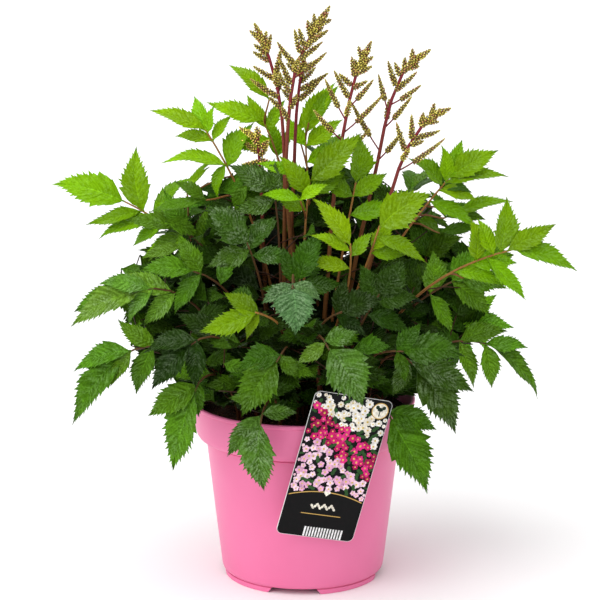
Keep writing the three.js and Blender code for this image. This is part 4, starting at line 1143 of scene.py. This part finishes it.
def stalk_tint(form, tone="deep"):
    share = (form["ring"] / form["rings"])[:, None]
    upper = STALK_TAN if tone in ("lime", "fresh") else STALK_GREEN
    return STALK_BROWN * (1 - share) + upper * share


def grow_leaf(leaf):
    bm = bmesh.new()
    grow_tube(bm, long_stalk, leaf["line"], STALK_RADII, stalk_tint(long_stalk, leaf["tone"]))
    for line in leaf["sprigs"]:
        grow_tube(bm, short_stalk, line, SPRIG_RADII, stalk_tint(short_stalk, leaf["tone"]))
    tone = TONES_BY_AGE_AND_SHADE.get(leaf["name"], leaf["tone"])
    for leaflet in leaf["leaflets"]:
        form = fine_blade if leaflet["length"] >= FINE_FROM else slim_blade
        colour = np.array(TONES[leaflet.get("tone", tone)])
        if "tone" not in leaflet:
            colour = colour * PAINTED_LEAF_LIGHT.get(leaf["name"], 1.0)
        grow_blade(bm, form, leaflet, colour)
    for line, group in leaf["branches"]:
        # The stalks of inner branches are painted darker, at 0.35 of the usual stalk colour: painted shade.
        grow_tube(bm, short_stalk, line, BRANCH_RADII, 0.35 * stalk_tint(short_stalk))
        for leaflet in group:
            shade = np.array(TONES["inner"]) * (1 + 0.8 * max(draw(leaflet["seed"] * 1.9), -0.6))
            far_out = how_far_out(leaflet["base"])
            light = [more * smooth((far_out - start) / over) for start, over, more in INNER_STEPS]
            shade = shade * sum(light, INNER_LIGHT)
            grow_blade(bm, plain_blade, leaflet, shade, 2)
    skin = young_finish if tone in ("lime", "fresh") else mature_finish
    if leaf["name"] in GLOSSY_PAINTED_SHEEN_LEAVES + PLEATED_PAINTED_SHADE_LEAVES:
        skin = glossy_painted_sheen_finish if leaf["name"] in GLOSSY_PAINTED_SHEEN_LEAVES else pleated_painted_shade_finish
    return finish_piece("leaf_of_" + leaf["name"], bm, [skin, stalk_finish, inner_finish],
                        "leaf_" + leaf["tone"], "leaf_" + leaf["name"])


leaf_pieces = [grow_leaf(leaf) for leaf in leaves]
print("leaves have", sum(len(piece.data.polygons) for piece in leaf_pieces), "faces")

# %% [markdown]
# ## Flower spikes
# A spike in bud is a red stem with side branches. Each branch is a slim, pointed rope of small
# round buds, set in a spiral like the seeds of a fir cone. The buds are one form of a few
# faces, turned and sized for each place.

# %% Bud finish
bud_finish = tinted_finish("flower buds", 0.5, 0.45, 1100,
                           (0.35, (0.8, 0.78, 0.7)), (0.7, (1.2, 1.2, 1.15)))

# %% Spikes: buds in a spiral
BUD_SHADES = [np.array(linear(*shade)) for shade in (
    (202, 190, 82), (182, 166, 66), (234, 222, 116), (190, 136, 92), (150, 130, 54), (250, 238, 166))]
BUD_LIMITS = (-0.3, 0.24, 0.42, 0.74, 0.95)  # the draws at which one shade gives way to the next
STEM_RED, STEM_BROWN = np.array(linear(128, 40, 50)), np.array(linear(124, 80, 40))
BUD_CORE_AND_GAP_SHADE = np.array(linear(104, 84, 44))  # the stalk inside a rope of buds, reaching out to the buds; its dark olive also fills the gaps between them as painted shade
ROPE = {"radius": 2.25, "bud": 0.92, "pitch": 0.34, "bare": 0.02}
STEM_RADII, TWIG_RADII = (2.5, 1.15), (0.75, 0.5)
STEM_END = 5  # how far below the tip of a spike its stem ends
SPIKE_LIGHT = {"young": 1.5}  # spikes painted paler than the others: partly their own paler young buds, partly painted light against the shade they stand in
# The tip of a spike carries short ropes of buds all round, longer and leaning out further down.
CROWN = {"swell": 1.12, "first": 11, "spacing": 2.4, "bare_end": 9, "length": 5, "longer": 0.75}
CROWN_TURNS = (0, 180, 75, 180, 0, 255)

bud_bm = bmesh.new()
bmesh.ops.create_icosphere(bud_bm, subdivisions=1, radius=1)
bud_bm.loops.layers.uv.new("veins")
bud = new_form(bud_bm)


def stretch(line, start, end, count):
    """Points at even distances along a part of a line."""
    return np.array([along_line(line, distance)[0] for distance in np.linspace(start, end, count)])


def bud_rope(bm, line, swell, bare, seed, blunt=2.4, light=1.0):
    """Buds in a spiral along a line, full in the lower half and pointed at the tip."""
    total = length_of(line)
    core = stretch(line, total * bare, total, 7)
    grow_tube(bm, short_stalk, core, (ROPE["radius"] * swell, 0.3), BUD_CORE_AND_GAP_SHADE, 0)
    count = int(total * (1 - bare) / ROPE["pitch"] * swell)
    for i in range(count):
        share = bare + (1 - bare) * (i + 0.5) / count
        middle, heading = along_line(line, total * share)
        across = unit(np.cross(heading, (0.2, 1, 0.3)))
        over = np.cross(heading, across)
        turn = math.radians(SPIRAL) * i + 6 * draw(seed)
        swelling = min(1, 0.74 + 2.2 * (share - bare) / (1 - bare)) * (1 - share ** blunt) ** 0.75
        outwards = math.cos(turn) * across + math.sin(turn) * over
        size = ROPE["bud"] * (0.62 + 0.38 * swelling) * (1 + 0.22 * draw(seed + i * 0.37))
        away = ROPE["radius"] * swell * swelling * (1 + 0.1 * draw(seed + i * 0.71))
        spot = middle + outwards * away + heading * 0.5
        long_way = unit(outwards + 0.8 * heading)
        wide_way = unit(np.cross(long_way, across if abs(np.dot(long_way, across)) < 0.9 else over))
        shape = np.stack([wide_way * 0.82, np.cross(long_way, wide_way) * 0.82, long_way * 1.15]) * size
        pick = draw(seed * 1.3 + i * 0.91)
        shade = BUD_SHADES[sum(pick >= limit for limit in BUD_LIMITS)]
        # Each bud is painted lighter at its outer end and darker at its base: painted shade between the buds.
        grow(bm, bud, spot + bud["rest"] @ shape, np.outer(light * (0.56 + 0.96 * bud["rest"][:, 2]), shade))


def grow_spike(name, number):
    crown, _, branches = SPIKES[name]
    line = spike_lines[name]
    total = length_of(line)
    bm = bmesh.new()
    share = smooth((long_stalk["ring"] / long_stalk["rings"])[:, None] / 0.4 - 1.1)
    stem = stretch(line, 0, total - STEM_END, 30)
    grow_tube(bm, long_stalk, stem, STEM_RADII, STEM_BROWN * (1 - share) + STEM_RED * share)
    light = SPIKE_LIGHT.get(name, 1.0)
    bud_rope(bm, stretch(line, total - crown, total, 8), CROWN["swell"], 0.0, number, 5.0, light)
    for k in range(int((crown - CROWN["bare_end"]) / CROWN["spacing"])):
        root, heading = along_line(line, total - CROWN["first"] - CROWN["spacing"] * k)
        around = CROWN_TURNS[k % len(CROWN_TURNS)] + 25 * draw(number + 3 * k)
        aim = unit(heading + (0.4 + 0.035 * k) * turned(unit(np.cross(heading, FRONT)), heading, around))
        length = CROWN["length"] + CROWN["longer"] * k + 0.5 * draw(number + k)
        steps = np.linspace(0, 1, 5)[:, None]
        bud_rope(bm, root + steps * length * aim, 0.7 + 0.02 * k, 0.0, number * 29 + k, 4.0, light)
    for k, (back, angle, length, lean) in enumerate(branches):
        root, _ = along_line(line, total - back - ROOT)
        steps = np.linspace(0, 1, 7)[:, None]
        branch = root + steps * (length + 2) * facing(angle, lean) + UP * 0.16 * length * steps ** 2
        grow_tube(bm, short_stalk, branch[:-1], TWIG_RADII, STEM_RED)
        bud_rope(bm, branch, 1.0, 0.3 if length > 24 else ROPE["bare"], number * 17 + k, light=light)
    return finish_piece("spike_of_buds_" + name, bm, [bud_finish, stalk_finish], "spike", "spike_" + name)


spike_pieces = [grow_spike(name, number) for number, name in enumerate(SPIKES)]
print("spikes have", sum(len(piece.data.polygons) for piece in spike_pieces), "faces")

# %% [markdown]
# ## Plant label
# A card label hangs in front of the rim from a strap that ends in a tongue in the mix. The
# card is one rectangle with rounded corners, extruded. Its print is laid on in thin layers: a
# bank of simple blossoms, gold lines, a badge and a block of even stripes, with no words.

# %% Label finishes
WHITE, CREAM, BLACK = linear(236, 236, 234), linear(246, 240, 226), linear(9, 9, 10)
GOLD, STAMEN, STRIPE_FIELD = linear(206, 168, 92), linear(226, 196, 92), linear(244, 244, 244)
LEAF_INK, SPROUT_INK, STRIPE_INK = linear(46, 84, 40), linear(30, 50, 36), linear(24, 27, 25)

card_finish, shader, _ = new_finish("white card", 0.45)
shader.inputs["Base Color"].default_value = (*WHITE, 1)

print_finish = tinted_finish("glossy print", 0.35, 0.12, 420,
                             (0.35, (0.72, 0.72, 0.72)), (0.65, (1.12, 1.12, 1.12)))

gold_finish, shader, _ = new_finish("gold foil", 0.35)
shader.inputs["Base Color"].default_value = (*GOLD, 1)
shader.inputs["Metallic"].default_value = 0.6

# %% Label: plates with rounded corners
LABEL = {"width": 68, "height": 128, "thick": 0.8, "corner": 5}
CARD_LEAN, CARD_TILT, LABEL_SIDE = math.radians(9), math.radians(13), math.radians(16)
LABEL_TURN = (Matrix.Translation(Vector((25.5, -87.3, 117.5)) * MM) @ Matrix.Rotation(LABEL_SIDE, 4, "Z")
              @ Matrix.Rotation(math.pi / 2, 4, "X"))
CARD_TURN = Matrix.Rotation(CARD_LEAN, 4, "X") @ Matrix.Rotation(-CARD_TILT, 4, "Z")
INK = 0.03  # thickness of one printed layer
PRINT_SCALE = 1.027  # the print is laid out for a card of 66 x 125


def thickened(bm, thick):
    """Makes the flat faces of bm a closed plate that stands up from them."""
    raised = bmesh.ops.extrude_face_region(bm, geom=bm.faces[:])["geom"]
    bmesh.ops.translate(bm, verts=[e for e in raised if isinstance(e, bmesh.types.BMVert)], vec=(0, 0, thick))
    bmesh.ops.recalc_face_normals(bm, faces=bm.faces[:])


def plate(width, height, corner, thick):
    bm = bmesh.new()
    bmesh.ops.create_grid(bm, x_segments=1, y_segments=1, size=0.5)
    bmesh.ops.scale(bm, verts=bm.verts[:], vec=(width, height, 1))
    if corner:
        bmesh.ops.bevel(bm, geom=bm.verts[:], offset=corner, offset_type="OFFSET", segments=7, profile=0.5,
                        affect="VERTICES", material=-1)
    thickened(bm, thick)
    return new_form(bm)


def flower_form(petals, depth, segments):
    """A flat flower seen from the front, its rim waved into petals."""
    bm = bmesh.new()
    bmesh.ops.create_circle(bm, cap_ends=True, segments=segments, radius=1)
    for point in bm.verts:
        wave = abs(math.cos(petals / 2 * math.atan2(point.co.y, point.co.x))) ** 0.6
        point.co *= 1 - depth * (1 - wave)
    thickened(bm, 1)
    return new_form(bm)


label_bm = bmesh.new()


def lay(form, middle, size, layer, colour, finish=1, turn=0.0):
    """Lays a printed form on the card: layers are counted from the card's front."""
    points = form["rest"] * np.array([*size, 1.0]) @ np.array(Matrix.Rotation(turn, 3, "Z")).T
    points[:, 2] = LABEL["thick"] + (layer + np.clip(form["rest"][:, 2], 0, 1)) * INK
    points[:, :2] = (points[:, :2] + middle) * PRINT_SCALE
    grow(label_bm, form, points, colour, finish)


# %% Label: blossoms
five_petals, eight_petals, disc = flower_form(5, 0.42, 30), flower_form(8, 0.34, 40), flower_form(1, 0.0, 20)
card_form = plate(LABEL["width"], LABEL["height"], LABEL["corner"], LABEL["thick"])
grow(label_bm, card_form, card_form["rest"], WHITE, 0)
dark_form = plate(LABEL["width"] - 0.6, LABEL["height"] - 0.6, LABEL["corner"] - 0.3, 1)
lay(dark_form, (0, 0), (1 / PRINT_SCALE, 1 / PRINT_SCALE), 0, BLACK)

PETAL_TONES = {
    "white": [linear(248, 244, 236), linear(238, 230, 214), linear(250, 246, 240)],
    "magenta": [linear(206, 26, 108), linear(226, 48, 132), linear(172, 16, 84)],
    "blush": [linear(240, 196, 220), linear(232, 174, 208), linear(246, 214, 230)],
}


def drift_of(x, y):
    """Which drift of blossoms grows at a spot of the card: they cross it on the slant."""
    band = (y - 20 + 0.55 * x) / 26
    return "white" if band > 0.55 else "magenta" if band > -0.42 else "blush"


def gold_line(x):
    """The height of the curved gold line under the blossoms."""
    return -28 + 6 * (1 - (x / 33) ** 2)


EDGE_X, EDGE_Y = 32.6, 61.5  # blossoms end here
BADGE = (24, 53)
BASE_LAYER, LAYER_STEP, BADGE_LAYERS = 1.2, 0.12, (12.0, 13.2, 14.4)
leaf_print = flower_form(2, 0.55, 16)
spots = []
for i in range(900):
    x, y = 31.5 * draw(i + 0.11), 18 + 42 * draw(i + 0.57)
    free = all(math.hypot(x - a, y - b) > 3.5 for a, b in spots)
    if free and y > gold_line(x) + 3 and math.dist((x, y), BADGE) > 9:
        spots.append((x, y))
spots.sort(key=lambda spot: -spot[1])
for i, (x, y) in enumerate(spots):
    layer = BASE_LAYER + i * LAYER_STEP
    if draw(i * 3.3) > 0.62:
        size = min(3.4, EDGE_X - abs(x), EDGE_Y - y)
        lay(leaf_print, (x, y), (size, 0.65 * size), layer, LEAF_INK, turn=3 * draw(i))
        continue
    tones = PETAL_TONES[drift_of(x, y)]
    size = min(3.1 + 0.9 * draw(i + 0.9), EDGE_X - abs(x), EDGE_Y - y)
    flower = five_petals if drift_of(x, y) != "white" else eight_petals
    lay(flower, (x, y), (size, size), layer, tones[i % 3], turn=3 * draw(i + 0.2))
    lay(disc, (x, y), (size * 0.24, size * 0.24), layer + 1.3, STAMEN)
print(len(spots), "blossoms and leaves printed")

# %% Label: gold lines, badge, leaf marks and stripes
bar = plate(1, 1, 0, 1)
for i in range(24):
    x = -31.3 + 62.6 * (i + 0.5) / 24
    lay(bar, (x, gold_line(x)), (2.85, 0.75), BASE_LAYER, GOLD, 2, turn=-0.011 * x)
lay(bar, (0, -42), (34, 0.6), BASE_LAYER, GOLD, 2)
lay(disc, BADGE, (7, 7), BADGE_LAYERS[0], GOLD, 2)
lay(disc, BADGE, (6.3, 6.3), BADGE_LAYERS[1], CREAM)
for spoke in (0.7, math.pi - 0.7):  # a sprout: two leaves on a stem
    spot = (BADGE[0] + 2.3 * math.cos(spoke), BADGE[1] + 0.6 + 2.3 * math.sin(spoke))
    lay(leaf_print, spot, (2.9, 2.3), BADGE_LAYERS[2], SPROUT_INK, turn=spoke)
lay(bar, (BADGE[0], BADGE[1] - 2), (0.9, 5.4), BADGE_LAYERS[2], SPROUT_INK)
for i in range(7):
    lay(leaf_print, (3 * i - 9, -35.5 + 1.3 * (i % 2)), (2.5, 1.5), BASE_LAYER, linear(236, 230, 214),
        turn=0.9 if i % 2 else -0.9)
lay(bar, (0, -22), (4.6, 4.6), 13.0, CREAM, turn=math.pi / 4)
STRIPES = {"middle": 6, "height": -57.5, "count": 13, "spacing": 2.4, "first": -8.4, "size": (1.05, 8.4)}
lay(bar, (STRIPES["middle"], STRIPES["height"]), (33, 8.4), BASE_LAYER, STRIPE_FIELD)
for i in range(STRIPES["count"]):
    spot = (STRIPES["first"] + STRIPES["spacing"] * i, STRIPES["height"])
    lay(bar, spot, STRIPES["size"], 2.4, STRIPE_INK)
bmesh.ops.transform(label_bm, matrix=CARD_TURN, verts=label_bm.verts[:])

# %% Label: strap over the rim and tongue in the mix
STRAP = {"width": 10, "offset": 6, "inside": 12, "up": 38.5, "down": 7.7, "bend": 3}
FLAT_STEPS, BEND_STEPS, TONGUE_STEPS = 4, 6, 4
STRAP_STEPS = FLAT_STEPS + BEND_STEPS + TONGUE_STEPS
strap_bm = bmesh.new()
bmesh.ops.create_grid(strap_bm, x_segments=1, y_segments=STRAP_STEPS, size=0.5)
inside, up, down, bend = (STRAP[key] for key in ("inside", "up", "down", "bend"))
reach_out = up * math.tan(CARD_LEAN) + 0.2
for point in strap_bm.verts:
    step = round((point.co.y + 0.5) * STRAP_STEPS)
    if step <= FLAT_STEPS:
        path = (up, reach_out + (bend - inside - reach_out) * step / FLAT_STEPS)
    elif step < FLAT_STEPS + BEND_STEPS:
        swing = math.pi / 2 * (step - FLAT_STEPS) / BEND_STEPS
        path = (up - bend * (1 - math.cos(swing)), bend - inside - bend * math.sin(swing))
    else:
        share = (step - FLAT_STEPS - BEND_STEPS) / TONGUE_STEPS
        path = (up - bend - (up - bend - down) * share, -inside)
    point.co = (STRAP["offset"] + STRAP["width"] * point.co.x, *path)
bmesh.ops.solidify(strap_bm, geom=strap_bm.faces[:], thickness=LABEL["thick"])
bmesh.ops.recalc_face_normals(strap_bm, faces=strap_bm.faces[:])
strap_form = new_form(strap_bm)
grow(label_bm, strap_form, strap_form["rest"], WHITE, 0)
bmesh.ops.transform(label_bm, matrix=LABEL_TURN, verts=label_bm.verts[:])
label = finish_piece("plant_label", label_bm, [card_finish, print_finish, gold_finish], "label", "label",
                     sharp=30)
print("label has", len(label.data.polygons), "faces")
